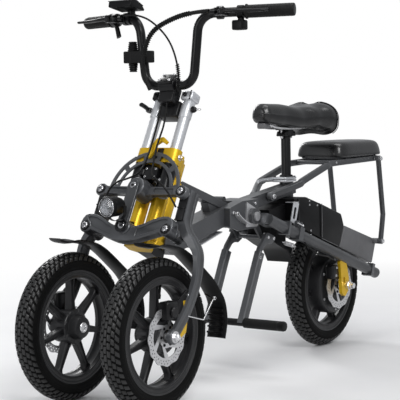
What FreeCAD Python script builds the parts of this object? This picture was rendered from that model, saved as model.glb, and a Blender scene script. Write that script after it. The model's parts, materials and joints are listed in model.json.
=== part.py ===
import FreeCAD
import Part

import math
import os

from FreeCAD import Placement, Rotation, Vector

# A folding electric tricycle with two leaning front wheels and one hub-motor wheel behind.
# Millimetres. +Z is up, -Y is forwards and +X is the rider's left.
# Heights are above the floor. Distances along the length are counted from the front axle,
# and "front_axle_y" places that axle so that the whole vehicle is centred on the origin.

SIZES = {
    "front_axle_y": -508.0,
    "wheelbase": 968.0,
    "half_track": 129.0,
    # wheels
    "tyre_radius": 180.0,
    "tyre_half_width": 27.5,
    "tyre_wall": 5.0,
    "bead_radius": 137.0,
    "rim_opening_radius": 118.0,
    "rim_half_width": 24.0,
    "hub_radius": 27.0,
    "hub_inboard": 32.0,
    "hub_outboard": 34.0,
    "spoke_width": 17.0,
    "spoke_thick": 22.0,
    "spoke_count": 7.0,
    "rotor_radius": 70.0,
    "rotor_thick": 1.8,
    "stub_axle_radius": 8.0,
    "motor_radius": 84.0,
    "motor_half_width": 46.0,
    "motor_spoke_count": 7.0,
    "running_fit": 0.05,
    # steering column and leaning parallelogram
    "rake": 27.5,
    "steer_offset": -20.0,
    "steerer_radius": 15.0,
    "head_tube_radius": 22.0,
    "head_tube_low": 398.0,
    "head_tube_high": 572.0,
    "column_tube_radius": 19.0,
    "column_tube_x": 26.5,
    "column_tube_offset": -77.0,
    "stanchion_radius": 14.3,
    "stanchion_x": 44.5,
    "stanchion_offset": -95.0,
    "stanchion_low": 500.0,
    "stanchion_high": 757.0,
    "crown_low": 586.0,
    "crown_thick": 38.0,
    "upper_pivot": 503.0,
    "lower_pivot": 398.5,
    "arm_reach": 122.5,
    "arm_pin_radius": 6.0,
    "arm_eye_radius": 16.0,
    "upper_arm_thick": 17.0,
    "lower_arm_thick": 26.0,
    "front_plate_width": 31.0,
    "front_plate_thick": 7.6,
    "lock_ring_outer": 107.0,
    "lock_ring_inner": 78.0,
    "lock_ring_thick": 4.5,
    "lamp_radius": 25.0,
    "lamp_length": 62.0,
    # cockpit
    "bar_radius": 11.5,
    "grip_radius": 15.5,
    "grip_length": 122.0,
    "bar_half_width": 323.0,
    "bar_height": 930.0,
    # folding frame
    "fold_y": 530.0,
    "fold_height": 413.0,
    "box_half_width": 46.0,
    "fold_pin_radius": 9.0,
    "rail_x": 80.0,
    "rail_radius": 15.5,
    "rail_bore_radius": 13.0,
    "rail_pitch": 19.4,
    "rail_length": 645.0,
    "seat_y": 778.0,
    "post_radius": 13.5,
    "post_bore_radius": 10.5,
    "post_low": 402.0,
    "post_high": 636.0,
    "rack_pivot_y": 655.0,
    "rack_pivot_height": 457.0,
    "rack_tube_radius": 8.5,
    "strut_radius": 6.5,
    "foot_pivot_y": 588.0,
    "foot_pivot_height": 352.0,
    "foot_shaft_radius": 5.0,
    "foot_arm_x": 53.5,
    "foot_arm_width": 17.0,
    "peg_radius": 13.0,
    "peg_reach": 188.0,
    "cable_radius": 2.4,
    "harness_radius": 5.0,
}

os.makedirs("parts", exist_ok=True)
doc = FreeCAD.newDocument("Tricycle")
sheet = doc.addObject("Spreadsheet::Sheet", "Sizes")
for row, (alias, value) in enumerate(SIZES.items(), start=1):
    sheet.set(f"A{row}", alias)
    sheet.set(f"B{row}", str(value))
    sheet.setAlias(f"B{row}", alias)
doc.recompute()

finished = []
made = [0]


def size(alias):
    """The value of one cell of the sheet."""
    return float(sheet.get(alias))


def own_name(stem):
    made[0] += 1
    return f"{stem}_{made[0]}"


def bind(thing, prop, value):
    """Binds a property to a cell when the value is text, and sets a plain number otherwise."""
    if isinstance(value, str):
        words = value.split(" ")
        cells = [f"Sizes.{word}" if word in SIZES else word for word in words]
        thing.setExpression(prop, " ".join(cells))
    else:
        setattr(thing, prop, value)


# The three working planes.
RAKE = size("rake")
FRONT_AXLE_Y = size("front_axle_y")
COLUMN_UP = Vector(0, math.sin(math.radians(RAKE)), math.cos(math.radians(RAKE)))
COLUMN_BACK = Vector(0, math.cos(math.radians(RAKE)), -math.sin(math.radians(RAKE)))


def spot(x, y, z):
    """A point given by its distance behind the front axle and its height."""
    return Vector(x, y + FRONT_AXLE_Y, z)


def column_spot(x, back, up):
    """A point in the raked column's own directions."""
    return spot(x, 0, 0) + COLUMN_BACK * back + COLUMN_UP * up


def side_plane(x):
    """Sketch right is backwards, sketch up is up, and the normal is the rider's left."""
    return Placement(spot(x, 0, 0), Rotation(Vector(1, 1, 1), 120))


def front_plane(back):
    """Sketch right is the rider's left, sketch up is up the column; the normal is forwards."""
    return Placement(column_spot(0, back, 0), Rotation(Vector(1, 0, 0), 90 - RAKE))


def column_plane(up):
    """Sketch right is the rider's left, sketch up is across the column; the normal is up it."""
    return Placement(column_spot(0, 0, up), Rotation(Vector(1, 0, 0), -RAKE))


def floor_plane(z):
    return Placement(spot(0, 0, z), Rotation())


def cylinder(radius, height, base, direction):
    rod = doc.addObject("Part::Cylinder", own_name("Rod"))
    bind(rod, "Radius", radius)
    bind(rod, "Height", height)
    rod.Placement = Placement(base, Rotation(Vector(0, 0, 1), direction))
    return rod


def across(radius, length, x, y, z):
    """A rod along the width, starting at x."""
    return cylinder(radius, length, spot(x, y, z), Vector(1, 0, 0))


def block(length_x, length_y, length_z, centre, rotation=None):
    brick = doc.addObject("Part::Box", own_name("Brick"))
    bind(brick, "Length", length_x)
    bind(brick, "Width", length_y)
    bind(brick, "Height", length_z)
    doc.recompute()
    half = Vector(brick.Length.Value, brick.Width.Value, brick.Height.Value) * 0.5
    turn = rotation or Rotation()
    brick.Placement = Placement(centre - turn.multVec(half), turn)
    return brick


def add_outline(sketch, points):
    """Closed outline. A point is (x, y), or (x, y, mid_x, mid_y) where an arc leads up to it."""
    start = Vector(points[-1][0], points[-1][1], 0)
    for point in points:
        end = Vector(point[0], point[1], 0)
        if len(point) == 4:
            middle = Vector(point[2], point[3], 0)
            sketch.addGeometry(Part.Arc(start, middle, end), False)
        else:
            sketch.addGeometry(Part.LineSegment(start, end), False)
        start = end


def new_sketch(body, points, holes):
    sketch = body.newObject("Sketcher::SketchObject", own_name("Outline"))
    base_plane = [f for f in body.Origin.OriginFeatures if f.Role == "XY_Plane"][0]
    sketch.AttachmentSupport = [(base_plane, "")]
    sketch.MapMode = "FlatFace"
    if points:
        add_outline(sketch, points)
    for x, y, radius in holes:
        sketch.addGeometry(Part.Circle(Vector(x, y, 0), Vector(0, 0, 1), radius), False)
    return sketch


def plate(points, thick, place, holes=(), centred=False):
    """A body padded from an outline with round holes."""
    body = doc.addObject("PartDesign::Body", own_name("Plate"))
    sketch = new_sketch(body, points, holes)
    pad = body.newObject("PartDesign::Pad", own_name("Pad"))
    pad.Profile = sketch
    pad.Midplane = centred
    bind(pad, "Length", thick)
    body.Placement = place
    return body


def turned(points, place):
    """A body revolved about its sketch's X axis."""
    body = doc.addObject("PartDesign::Body", own_name("Turned"))
    sketch = new_sketch(body, points, ())
    ring = body.newObject("PartDesign::Revolution", own_name("Revolution"))
    ring.Profile = sketch
    ring.ReferenceAxis = (sketch, ["H_Axis"])
    ring.Angle = 360
    body.Placement = place
    return body


def joined(*things):
    fuse = doc.addObject("Part::MultiFuse", own_name("Joined"))
    fuse.Shapes = list(things)
    fuse.Refine = True
    return fuse


def cut_away(base, *tools):
    """The base with every tool cut from it."""
    for tool in tools:
        cut = doc.addObject("Part::Cut", own_name("Cut"))
        cut.Base = base
        cut.Tool = tool
        base = cut
    return base


def shape_of(label, shape):
    thing = doc.addObject("Part::Feature", label)
    thing.Shape = shape
    thing.Placement = Placement()
    return thing


def node(label, thing):
    """Names a finished sub-part, whose label names its file."""
    thing.Label = label
    finished.append(thing)
    return thing


def circle_outline(radius, x=0.0, y=0.0):
    return [(x - radius, y, x, y + radius), (x + radius, y, x, y - radius)]


def rounded_path(points, share=0.45):
    """Straight runs joined by tangent arcs, each as large as its two runs allow."""
    edges = []
    radii = []
    start = points[0]
    for before, corner, after in zip(points, points[1:], points[2:]):
        run_in = corner - before
        run_out = after - corner
        setback = share * min(run_in.Length, run_out.Length)
        toward = Vector(run_in).normalize()
        away = Vector(run_out).normalize()
        half_turn = toward.getAngle(away) / 2
        radius = setback / math.tan(half_turn)
        radii.append(radius)
        first = corner - toward * setback
        last = corner + away * setback
        inward = (away - toward).normalize()
        middle = corner + inward * (radius / math.cos(half_turn) - radius)
        edges.append(Part.LineSegment(start, first).toShape())
        edges.append(Part.Arc(first, middle, last).toShape())
        start = last
    edges.append(Part.LineSegment(start, points[-1]).toShape())
    return Part.Wire(edges), radii


def swept(points, radius, share=0.45):
    """A round bar along a rounded path."""
    path, radii = rounded_path(points, share)
    direction = points[1] - points[0]
    section = Part.Wire(Part.Circle(points[0], direction, radius).toShape())
    return path.makePipeShell([section], True, False), path, radii


def cable(points, radius):
    """A cable's solid; its volume and its sharpest bend are compared and printed."""
    solid, path, radii = swept(points, radius)
    expected = math.pi * radius**2 * path.Length
    if abs(solid.Volume / expected - 1) > 0.01:
        raise ValueError("a cable's volume differs from its section times its length")
    print(f"cable length {path.Length:.0f}, smallest bend radius {min(radii):.1f}")
    return solid


def strip(points, thick):
    """Closed outline of a bent strip: the given line and the same line set off sideways."""
    offset = []
    for index, (x, y) in enumerate(points):
        before = points[max(index - 1, 0)]
        after = points[min(index + 1, len(points) - 1)]
        along = Vector(after[0] - before[0], after[1] - before[1], 0).normalize()
        offset.append((x - along.y * thick, y + along.x * thick))
    return list(points) + offset[::-1]


def arc_points(centre_y, centre_z, radius, first, last, count):
    """Points on a circle from one angle to another, in degrees from straight back."""
    step = (last - first) / (count - 1)
    angles = [math.radians(first + step * index) for index in range(count)]
    return [(centre_y + radius * math.cos(a), centre_z + radius * math.sin(a)) for a in angles]


# ---------------------------------------------------------------- wheels


def tyre(label, x, y):
    """A hollow tyre: a round crown over straight walls, open towards the rim."""
    outer = size("tyre_radius")
    half = size("tyre_half_width")
    wall = size("tyre_wall")
    bead = size("bead_radius") + 0.3
    side = outer - half
    outline = [
        (-half + 3, bead),
        (-half, side - 8),
        (half, side - 8, 0, outer),
        (half - 3, bead),
        (half - 3 - wall, bead),
        (half - wall, side - 8),
        (-half + wall, side - 8, 0, outer - wall - 3),
        (-half + 3 + wall, bead),
    ]
    body = turned(outline, Placement(spot(x, y, outer), Rotation()))
    node(label, body)


def rim_ring(x, y):
    """The rim: a channel with a flange on each side."""
    half = size("rim_half_width")
    bead = size("bead_radius")
    low = size("rim_opening_radius")
    outline = [
        (-half, bead),
        (-half + 4, bead),
        (-half + 8, low + 6),
        (half - 8, low + 6),
        (half - 4, bead),
        (half, bead),
        (half, low + 2),
        (half - 3, low),
        (-half + 3, low),
        (-half, low + 2),
    ]
    return turned(outline, Placement(spot(x, y, size("tyre_radius")), Rotation()))


def spokes(x, y, count, inner, thick):
    """Flat cast spokes from the hub to the rim, evenly spaced."""
    bars = []
    reach = size("rim_opening_radius") + 4 - inner
    middle = inner + reach / 2
    height = size("tyre_radius")
    for index in range(count):
        turn = Rotation(Vector(1, 0, 0), 360.0 * index / count)
        centre = spot(x, y, height) + turn.multVec(Vector(0, 0, middle))
        bars.append(block(thick, "spoke_width", reach, centre, turn))
    return bars


def cast_wheel(label, x, y, hub_parts, bars):
    """A cast wheel as two closed solids that meet at the rim's inner face: the rim and its spider."""
    height = size("tyre_radius")
    room = across("rim_opening_radius", 200, x - 100, y, height)
    spider = doc.addObject("Part::Common", own_name("Spider"))
    spider.Base = joined(*hub_parts, *bars)
    spider.Tool = room
    bore = across("stub_axle_radius + running_fit", 200, x - 100, y, height)
    pair = doc.addObject("Part::Compound", own_name("Casting"))
    pair.Links = [rim_ring(x, y), cut_away(spider, bore)]
    node(label, pair)


def rotor_disc(x, y):
    """A brake disc with drilled holes and an open middle."""
    radius = size("rotor_radius")
    holes = []
    for ring, count in ((radius - 6, 24), (radius - 13, 24)):
        for index in range(count):
            angle = 2 * math.pi * (index + 0.5 * (ring < radius - 10)) / count
            holes.append((y + ring * math.cos(angle), 180 + ring * math.sin(angle), 2.2))
    for index in range(6):
        angle = 2 * math.pi * index / 6
        holes.append((y + 37 * math.cos(angle), 180 + 37 * math.sin(angle), 11))
    outline = circle_outline(radius, y, size("tyre_radius"))
    disc = plate(outline, "rotor_thick", side_plane(x), holes)
    bore = across(23, 10, x - 4, y, size("tyre_radius"))
    return cut_away(disc, bore)


def front_wheel(side, name):
    """One front wheel: tyre, cast wheel and brake disc. The disc is on the outer side."""
    x = side * size("half_track")
    height = size("tyre_radius")
    tyre(f"tyre_{name}", x, 0)
    inboard = size("hub_inboard")
    outboard = size("hub_outboard")
    low = x - inboard if side > 0 else x - outboard
    hub = across("hub_radius", inboard + outboard, low, 0, height)
    count = int(size("spoke_count"))
    bars = spokes(x, 0, count, size("hub_radius") - 4, "spoke_thick")
    cast_wheel(f"wheel_{name}", x, 0, [hub], bars)
    disc_x = x + side * outboard if side > 0 else x - outboard - size("rotor_thick")
    node(f"rotor_{name}", rotor_disc(disc_x, 0))


front_wheel(1, "l")
front_wheel(-1, "r")

BASE = size("wheelbase")
tyre("tyre_rear", 0, BASE)
motor_drum = across("motor_radius", "motor_half_width * 2", -size("motor_half_width"), BASE, 180)
motor_cap = across(30, 2 * 54, -54, BASE, 180)
motor_spokes = spokes(0, BASE, int(size("motor_spoke_count")), size("motor_radius") - 4, 26)
cast_wheel("wheel_rear", 0, BASE, [motor_drum, motor_cap], motor_spokes)


# ---------------------------------------------------------------- folding frame, front half

STEER = size("steer_offset")
head_low = size("head_tube_low")
head_length = size("head_tube_high") - head_low
head_base = column_spot(0, STEER, head_low)
head_outer = cylinder("head_tube_radius", head_length, head_base, COLUMN_UP)
head_bore = cylinder(
    "steerer_radius + running_fit", head_length + 20, head_base - COLUMN_UP * 10, COLUMN_UP
)
cups = [
    cylinder(size("head_tube_radius") + 3, 14, column_spot(0, STEER, up), COLUMN_UP)
    for up in (head_low, size("head_tube_high") - 14)
]
node("head_tube", cut_away(joined(head_outer, *cups), head_bore))


def head_clearance():
    """Room for the head tube and its cups, cut from the members that meet it."""
    reach = head_length + 60
    return cylinder(size("head_tube_radius") + 3, reach, head_base - COLUMN_UP * 30, COLUMN_UP)


top_outline = [(236, 512), (256, 524), (488, 443), (488, 421), (300, 487)]
top_member = plate(top_outline, 30, side_plane(0), centred=True)
node("top_member", cut_away(top_member, head_clearance()))

beam_outline = [(178, 382), (430, 441), (430, 392), (168, 330)]
lower_beam = plate(beam_outline, 58, side_plane(0), centred=True)
web_outline = [(392, 428), (382, 457), (430, 441.5), (430, 436)]
gusset = plate(web_outline, 24, side_plane(0), centred=True)
top_room = plate(
    [(236, 512), (256, 530), (500, 450), (488, 421), (300, 487)], 80, side_plane(0), centred=True
)
web = cut_away(gusset, top_room)
yoke_sweep = cylinder(62, 100, column_spot(0, STEER, head_low - 100.5), COLUMN_UP)
node("lower_beam", cut_away(joined(lower_beam, web), head_clearance(), yoke_sweep))

box_outline = [(431, 392), (431, 440), (440, 443), (489, 455), (566, 457), (558, 380), (470, 378)]
box_shell = plate(box_outline, "box_half_width * 2", side_plane(0), centred=True)
hollow_outline = [(442, 370), (442, 432), (492, 445), (552, 447), (546, 370)]
box_hollow = plate(hollow_outline, "box_half_width * 2 - 10", side_plane(0), centred=True)
top_slot = plate([(400, 443), (489, 421), (489, 470), (400, 470)], 31, side_plane(0), centred=True)
catch_tube = across(8, 46, -60, 492, 458)
centre_box = cut_away(box_shell, box_hollow, top_slot)
foot_y = size("foot_pivot_y")
foot_z = size("foot_pivot_height")
hanger_outline = [
    (538, 400),
    (564, 400),
    (foot_y + 7, foot_z + 3),
    (foot_y - 7, foot_z - 3, foot_y + 4, foot_z - 7),
]
hangers = [plate(hanger_outline, 6, side_plane(side * 38), centred=True) for side in (1, -1)]
hanger_bore = across("foot_shaft_radius + running_fit", 120, -60, foot_y, foot_z)
node("centre_box", cut_away(joined(centre_box, catch_tube, *hangers), hanger_bore))

FOLD_Y = size("fold_y")
FOLD_Z = size("fold_height")
pin_length = 62.3 - size("box_half_width")
fold_parts = []
for side in (1, -1):
    inner = size("box_half_width")
    trapezoid = [(505, 452), (566, 424), (572, 404), (552, 384), (500, 386)]
    start = inner if side > 0 else -inner - 4
    fold_parts.append(plate(trapezoid, 4, side_plane(start)))
    pin_start = inner if side > 0 else -inner - pin_length
    fold_parts.append(across("fold_pin_radius", pin_length, pin_start, FOLD_Y, FOLD_Z))
    head_start = 62.3 if side > 0 else -67.3
    fold_parts.append(across(12, 5, head_start, FOLD_Y, FOLD_Z))
fold_left = joined(*fold_parts[:3])
fold_right = joined(*fold_parts[3:])
fold_pair = doc.addObject("Part::Compound", "FoldPair")
fold_pair.Links = [fold_left, fold_right]
node("fold_pins", fold_pair)

SEAT_Y = size("seat_y")
seat_outline = [(567, 457), (700, 475), (796, 488), (800, 458), (700, 444), (567, 424)]
seat_beam = plate(seat_outline, 36, side_plane(0), centred=True)
seat_socket = cylinder(19, 46, spot(0, SEAT_Y, 444), Vector(0, 0, 1))
socket_bore = cylinder("post_radius + running_fit", 100, spot(0, SEAT_Y, 420), Vector(0, 0, 1))
rack_pin = across(5, 76, -38, size("rack_pivot_y"), size("rack_pivot_height"))
node("seat_beam", cut_away(joined(seat_beam, seat_socket, rack_pin), socket_bore))

clamp_ring = cylinder(24, 14, spot(0, SEAT_Y, 490.3), Vector(0, 0, 1))
clamp_ear = block(13, 26, 14, spot(-12, SEAT_Y - 30, 497.3))
clamp_bore = cylinder("post_radius + running_fit", 40, spot(0, SEAT_Y, 480), Vector(0, 0, 1))
node("seat_clamp", cut_away(joined(clamp_ring, clamp_ear), clamp_bore))
lever_arm = block(9, 78, 13, spot(-26, SEAT_Y - 66, 497.3))
lever_eye = across(6.5, 9, -30.5, SEAT_Y - 30, 497.3)
node("seat_lever", joined(lever_arm, lever_eye))

release_outline = strip([(452, 422), (470, 404), (492, 395), (512, 390)], 4)
release_blade = plate(release_outline, 8, side_plane(50.8))
release_eye = across(6, 8, 50.8, 452, 424)
release_bore = across(3.05, 20, 46, 452, 424)
node("release_lever", cut_away(joined(release_blade, release_eye), release_bore))

# ---------------------------------------------------------------- steering column

crown_low = size("crown_low")
stanchion_x = size("stanchion_x")
stanchion_back = size("stanchion_offset")
crown_outline = [
    (stanchion_x, stanchion_back - 17),
    (stanchion_x, stanchion_back + 19, stanchion_x + 18, stanchion_back),
    (20, STEER, 40, -50),
    (-20, STEER, 0, STEER + 20),
    (-stanchion_x, stanchion_back + 19, -40, -50),
    (-stanchion_x, stanchion_back - 17, -stanchion_x - 18, stanchion_back),
]
crown_block = plate(crown_outline, "crown_thick", column_plane(crown_low))
crown_bores = [
    cylinder(
        "stanchion_radius + running_fit", 80, column_spot(x, stanchion_back, crown_low - 20), COLUMN_UP
    )
    for x in (stanchion_x, -stanchion_x)
]
steerer_low = size("head_tube_low") - 12
steerer = cylinder(
    "steerer_radius", crown_low - steerer_low + 10, column_spot(0, STEER, steerer_low), COLUMN_UP
)
spacer = cylinder(21, 12, column_spot(0, STEER, size("head_tube_high") + 0.5), COLUMN_UP)
clamp_bolt_x = stanchion_x + 15
clamp_bolt = cylinder(4, 15, column_spot(clamp_bolt_x, stanchion_back + 2, 605), Vector(1, 0, 0))
lever_pin = cylinder(3, 20, column_spot(2, -130, 614), COLUMN_BACK)
crown_parts = [cut_away(crown_block, *crown_bores), steerer, spacer, clamp_bolt, lever_pin]
node("crown", joined(*crown_parts))

column_x = size("column_tube_x")
column_back = size("column_tube_offset")
yoke_low = 372.0
yoke_high = 396.0
tubes = [
    cylinder(
        "column_tube_radius",
        crown_low - 0.3 - yoke_high,
        column_spot(x, column_back, yoke_high),
        COLUMN_UP,
    )
    for x in (column_x, -column_x)
]
yoke_outline = [
    (-34, -88),
    (34, -88, 0, -95),
    (36, -62),
    (20, -46),
    (20, 4),
    (-20, 4, 0, 12),
    (-20, -46),
    (-36, -62),
]
yoke = plate(yoke_outline, yoke_high - yoke_low, column_plane(yoke_low))
yoke_room = cylinder(25.5, 60, column_spot(0, STEER, size("head_tube_low") - 0.5), COLUMN_UP)
steerer_room = cylinder("steerer_radius", 60, column_spot(0, STEER, steerer_low), COLUMN_UP)
pivot_shafts = []
for up in (size("upper_pivot"), size("lower_pivot")):
    pivot_shafts.append(
        cylinder("arm_pin_radius", 68, column_spot(0, -150, up), COLUMN_BACK)
    )
    bridge = block(2 * column_x, 10, 24, column_spot(0, -82, up), Rotation(Vector(1, 0, 0), -RAKE))
    pivot_shafts.append(bridge)
stanchion_room = [
    cylinder(
        size("stanchion_radius") + 0.6, 200, column_spot(x, stanchion_back, 412), COLUMN_UP
    )
    for x in (stanchion_x, -stanchion_x)
]
column_block = joined(yoke, *tubes, *pivot_shafts)
node("column", cut_away(column_block, yoke_room, steerer_room, *stanchion_room))

half_plate = size("front_plate_width") / 2
upper = size("upper_pivot")
lower = size("lower_pivot")
front_outline = [
    (-half_plate, upper),
    (half_plate, upper, 0, upper + half_plate),
    (half_plate, lower),
    (-half_plate, lower, 0, lower - half_plate),
]
plate_body = plate(front_outline, "front_plate_thick", front_plane(-150.3))
plate_bolts = [cylinder(8, 3, column_spot(0, -160.8, up), COLUMN_BACK) for up in (upper, lower)]
node("front_plate", joined(plate_body, *plate_bolts))


def lock_ring_outline(outer, inner, first, last):
    """A slice of a ring about the upper pivot, between two angles from the rider's left."""
    edge = [math.radians(a) for a in (first, (first + last) / 2, last)]
    far = [(outer * math.cos(a), upper + outer * math.sin(a)) for a in edge]
    near = [(inner * math.cos(a), upper + inner * math.sin(a)) for a in edge]
    return [near[0], far[0], (*far[2], *far[1]), near[2], (*near[0], *near[1])][1:]


ring_outer = size("lock_ring_outer")
ring_inner = size("lock_ring_inner")
ring_front = -119.0
ring_band = plate(
    lock_ring_outline(ring_outer, ring_inner, -6, 186),
    "lock_ring_thick",
    front_plane(ring_front + size("lock_ring_thick")),
)
ring_slots = []
for first in (10, 42, 74, 106, 138):
    slot = lock_ring_outline(ring_outer - 9, ring_inner + 9, first, first + 26)
    ring_slots.append(plate(slot, 20, front_plane(ring_front + 12)))
ring_foot_room = block(
    300, 40, 60, column_spot(0, ring_front, upper - 20), Rotation(Vector(1, 0, 0), -RAKE)
)
node("lock_ring", cut_away(ring_band, *ring_slots, ring_foot_room))

LAMP_Z = 472.0
lamp_front = -8.0
lamp_shell = cylinder("lamp_radius", "lamp_length", spot(0, lamp_front, LAMP_Z), Vector(0, 1, 0))
lamp_hollow = cylinder("lamp_radius - 2.5", 12, spot(0, lamp_front - 1, LAMP_Z), Vector(0, 1, 0))
lamp_slice = plate(
    [(-60, 350), (60, 350), (60, 620), (-60, 620)], 60, front_plane(-98.4)
)
lamp_body = cut_away(lamp_shell, lamp_hollow, lamp_slice)
node("headlight_pod", lamp_body)
lens = cylinder("lamp_radius - 2.6", 8, spot(0, lamp_front + 1.5, LAMP_Z), Vector(0, 1, 0))
node("headlight_lens", lens)

lever_outline = [
    (-10, 590),
    (-1, 590),
    (8, 608),
    (10, 626),
    (22, 634),
    (36, 627),
    (41, 634),
    (26, 645),
    (6, 641),
    (-5, 622),
    (-7, 606),
]
lever_blade = plate(lever_outline, 9, front_plane(-120.5))
lever_bore = cylinder(3.05, 60, column_spot(2, -150, 614), COLUMN_BACK)
node("crown_lever", cut_away(lever_blade, lever_bore))

# ---------------------------------------------------------------- leaning arms

reach = size("arm_reach")
upper_front = -128.5
eye_radius = size("arm_eye_radius")
upper_outline = [
    (-30, upper + 8),
    (30, upper + 8, 0, upper + 28),
    (reach, upper + 9),
    (reach, upper - 9),
    (30, upper - 12),
    (-30, upper - 12, 0, upper - 24),
    (-reach, upper - 9),
    (-reach, upper + 9),
]
pin_room = "arm_pin_radius + running_fit"
upper_bar = plate(upper_outline, "upper_arm_thick", front_plane(upper_front + 17))
upper_eyes = [
    cylinder(eye_radius, "upper_arm_thick", column_spot(x, upper_front, upper), COLUMN_BACK)
    for x in (-reach, reach)
]
upper_hub = cylinder(25, 50.5, column_spot(0, -149.8, upper), COLUMN_BACK)
upper_bores = [
    cylinder(pin_room, 80, column_spot(x, -155, upper), COLUMN_BACK) for x in (-reach, 0, reach)
]
upper_pockets = [
    plate(
        [(side * 42, upper - 5), (side * 42, upper + 4), (side * 98, upper + 3), (side * 98, upper - 3)],
        6,
        front_plane(upper_front + 4),
    )
    for side in (1, -1)
]
upper_solid = joined(upper_bar, upper_hub, *upper_eyes)
node("upper_arm", cut_away(upper_solid, *upper_bores, *upper_pockets))

lower_front = -144.5
lower_outline = [
    (24, lower + 3),
    (84, lower + 26, 56, lower + 13),
    (121, lower + 32, 103, lower + 31),
    (140, lower + 6, 136, lower + 24),
    (reach, lower - eye_radius, 135, lower - 11),
    (104, lower - 9),
    (44, lower - 27, 76, lower - 17),
    (-44, lower - 27, 0, lower - 34),
    (-104, lower - 9, -76, lower - 17),
    (-reach, lower - eye_radius),
    (-140, lower + 6, -135, lower - 11),
    (-121, lower + 32, -136, lower + 24),
    (-84, lower + 26, -103, lower + 31),
    (-24, lower + 3, -56, lower + 13),
]
lower_bar = plate(lower_outline, "lower_arm_thick", front_plane(lower_front + 26))
lower_hub = cylinder(18, 50.5, column_spot(0, -149.8, lower), COLUMN_BACK)
lower_bores = [
    cylinder(pin_room, 80, column_spot(x, -155, lower), COLUMN_BACK) for x in (-reach, 0, reach)
]
node("lower_arm", cut_away(joined(lower_bar, lower_hub), *lower_bores))


# ---------------------------------------------------------------- wheel carriers


def leg_side_outline():
    """The leg seen from the side: down from the pivots, back over the tyre, then to the axle."""
    return [
        (137, 505),
        (174, 491),
        (150, 448),
        (134, 420),
        (131, 372),
        (118, 300),
        (92, 240),
        (16, 163),
        (-15, 172, -8, 160),
        (-14, 190, -19, 181),
        (60, 262),
        (90, 320),
        (97, 372),
        (99, 424),
        (112, 452),
    ]


def leg_front_outline(side):
    """The same leg seen from the front: inboard between the pivots, outboard past the tyre."""
    right = [
        (108, 530),
        (142, 530),
        (142, 440),
        (152, 408),
        (184, 366),
        (189, 330),
        (189, 140),
        (173, 140),
        (173, 330),
        (165, 362),
        (163, 376),
        (134, 404),
        (108, 428),
    ]
    return [(side * x, z) for x, z in right]


def upright(side, name):
    """One wheel carrier: bosses and pins for both arms, the leg and the stub axle."""
    leg_side = plate(leg_side_outline(), 500, side_plane(0), centred=True)
    facing = Placement(spot(0, 400, 0), Rotation(Vector(1, 0, 0), 90))
    leg_front = plate(leg_front_outline(side), 800, facing)
    leg = doc.addObject("Part::Common", own_name("Leg"))
    leg.Base = leg_side
    leg.Tool = leg_front
    parts = [leg]
    x = side * reach
    eyes = ((upper, upper_front, 17, -84), (lower, lower_front, 26, -84))
    for up, front, thick, rear in eyes:
        boss_start = front + thick + 0.4
        length = rear - boss_start
        parts.append(cylinder(eye_radius, length, column_spot(x, boss_start, up), COLUMN_BACK))
        pin = cylinder("arm_pin_radius", thick + 1.2, column_spot(x, front - 0.5, up), COLUMN_BACK)
        parts.append(pin)
        parts.append(cylinder(8, 2.6, column_spot(x, front - 3.1, up), COLUMN_BACK))
    inner = size("half_track") - 36
    outer = 197
    start = inner if side > 0 else -outer
    parts.append(across("stub_axle_radius", outer - inner, start, 0, size("tyre_radius")))
    nut_start = 189 if side > 0 else -196
    parts.append(across(14, 7, nut_start, 0, size("tyre_radius")))
    cap_start = inner - 6 if side > 0 else -inner
    parts.append(across(12, 6, cap_start, 0, size("tyre_radius")))
    arm_rooms = [
        block(
            90,
            60,
            100,
            column_spot(x, front + thick + 0.4 - 30, up),
            Rotation(Vector(1, 0, 0), -RAKE),
        )
        for up, front, thick, _ in eyes
    ]
    recess = block(18, 12, 44, spot(side * 125, 115, 447), Rotation(Vector(1, 0, 0), -27))
    solid_leg = cut_away(leg, *arm_rooms, recess)
    node(f"upright_{name}", joined(solid_leg, *parts[1:]))


def fender(side, name):
    """A short front mudguard with an upturned beak and a flap behind the tyre."""
    arch = arc_points(0, size("tyre_radius"), 200, 50, 96, 9)[::-1]
    line = [(-48, 393)] + arch + [(196, 280), (240, 222), (246, 180), (236, 140)]
    guard = plate(strip(line, 2.5), 54, side_plane(side * size("half_track")), centred=True)
    tab = block(7.5, 14, 22, spot(side * 159.7, 112, 356))
    node(f"fender_{name}", joined(guard, tab))


def caliper(side, name):
    """A brake caliper over the disc, bolted to the front of the leg."""
    body = block(34, 34, 46, spot(side * 168, 2, 239))
    slot = block(4, 60, 60, spot(side * (size("half_track") + size("hub_outboard") + 0.9), 2, 224))
    bracket = block(9, 40, 16, spot(side * 181, 30, 240), Rotation(Vector(1, 0, 0), 20))
    leg_room = plate(leg_side_outline(), 500, side_plane(0), centred=True)
    bridge = cut_away(joined(body, bracket), slot, leg_room)
    node(f"caliper_{name}", bridge)


for side, name in ((1, "l"), (-1, "r")):
    upright(side, name)
    fender(side, name)
    caliper(side, name)

# ---------------------------------------------------------------- bar and stem

bar_y = 246.0
bar_low = 757.0
half_bar = size("bar_half_width")
bar_high = size("bar_height")


def bar_line(side):
    """Centre line of one half of the bar, from the stem to the grip's end."""
    return [
        spot(side * 73, bar_y, bar_low),
        spot(side * 93, bar_y, bar_high - 1),
        spot(side * half_bar, bar_y + 71, bar_high),
    ]


bar_points = bar_line(-1)[::-1] + bar_line(1)
bar_solid = swept(bar_points, size("bar_radius"), 0.24)[0]
bar_core = swept(bar_points, size("bar_radius") - 2.2, 0.24)[0]
node("handlebar", shape_of("HandlebarTube", bar_solid.cut(bar_core)))


def grip_direction(side):
    return (bar_line(side)[2] - bar_line(side)[1]).normalize()


def along_grip(side, inward):
    """A point on the grip's line, counted inwards from the end of the bar."""
    return bar_line(side)[2] - grip_direction(side) * inward


def ahead(side, distance):
    """A step forwards, square to the grip."""
    return Vector(0, 0, 1).cross(grip_direction(side)) * (-side * distance)


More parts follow.
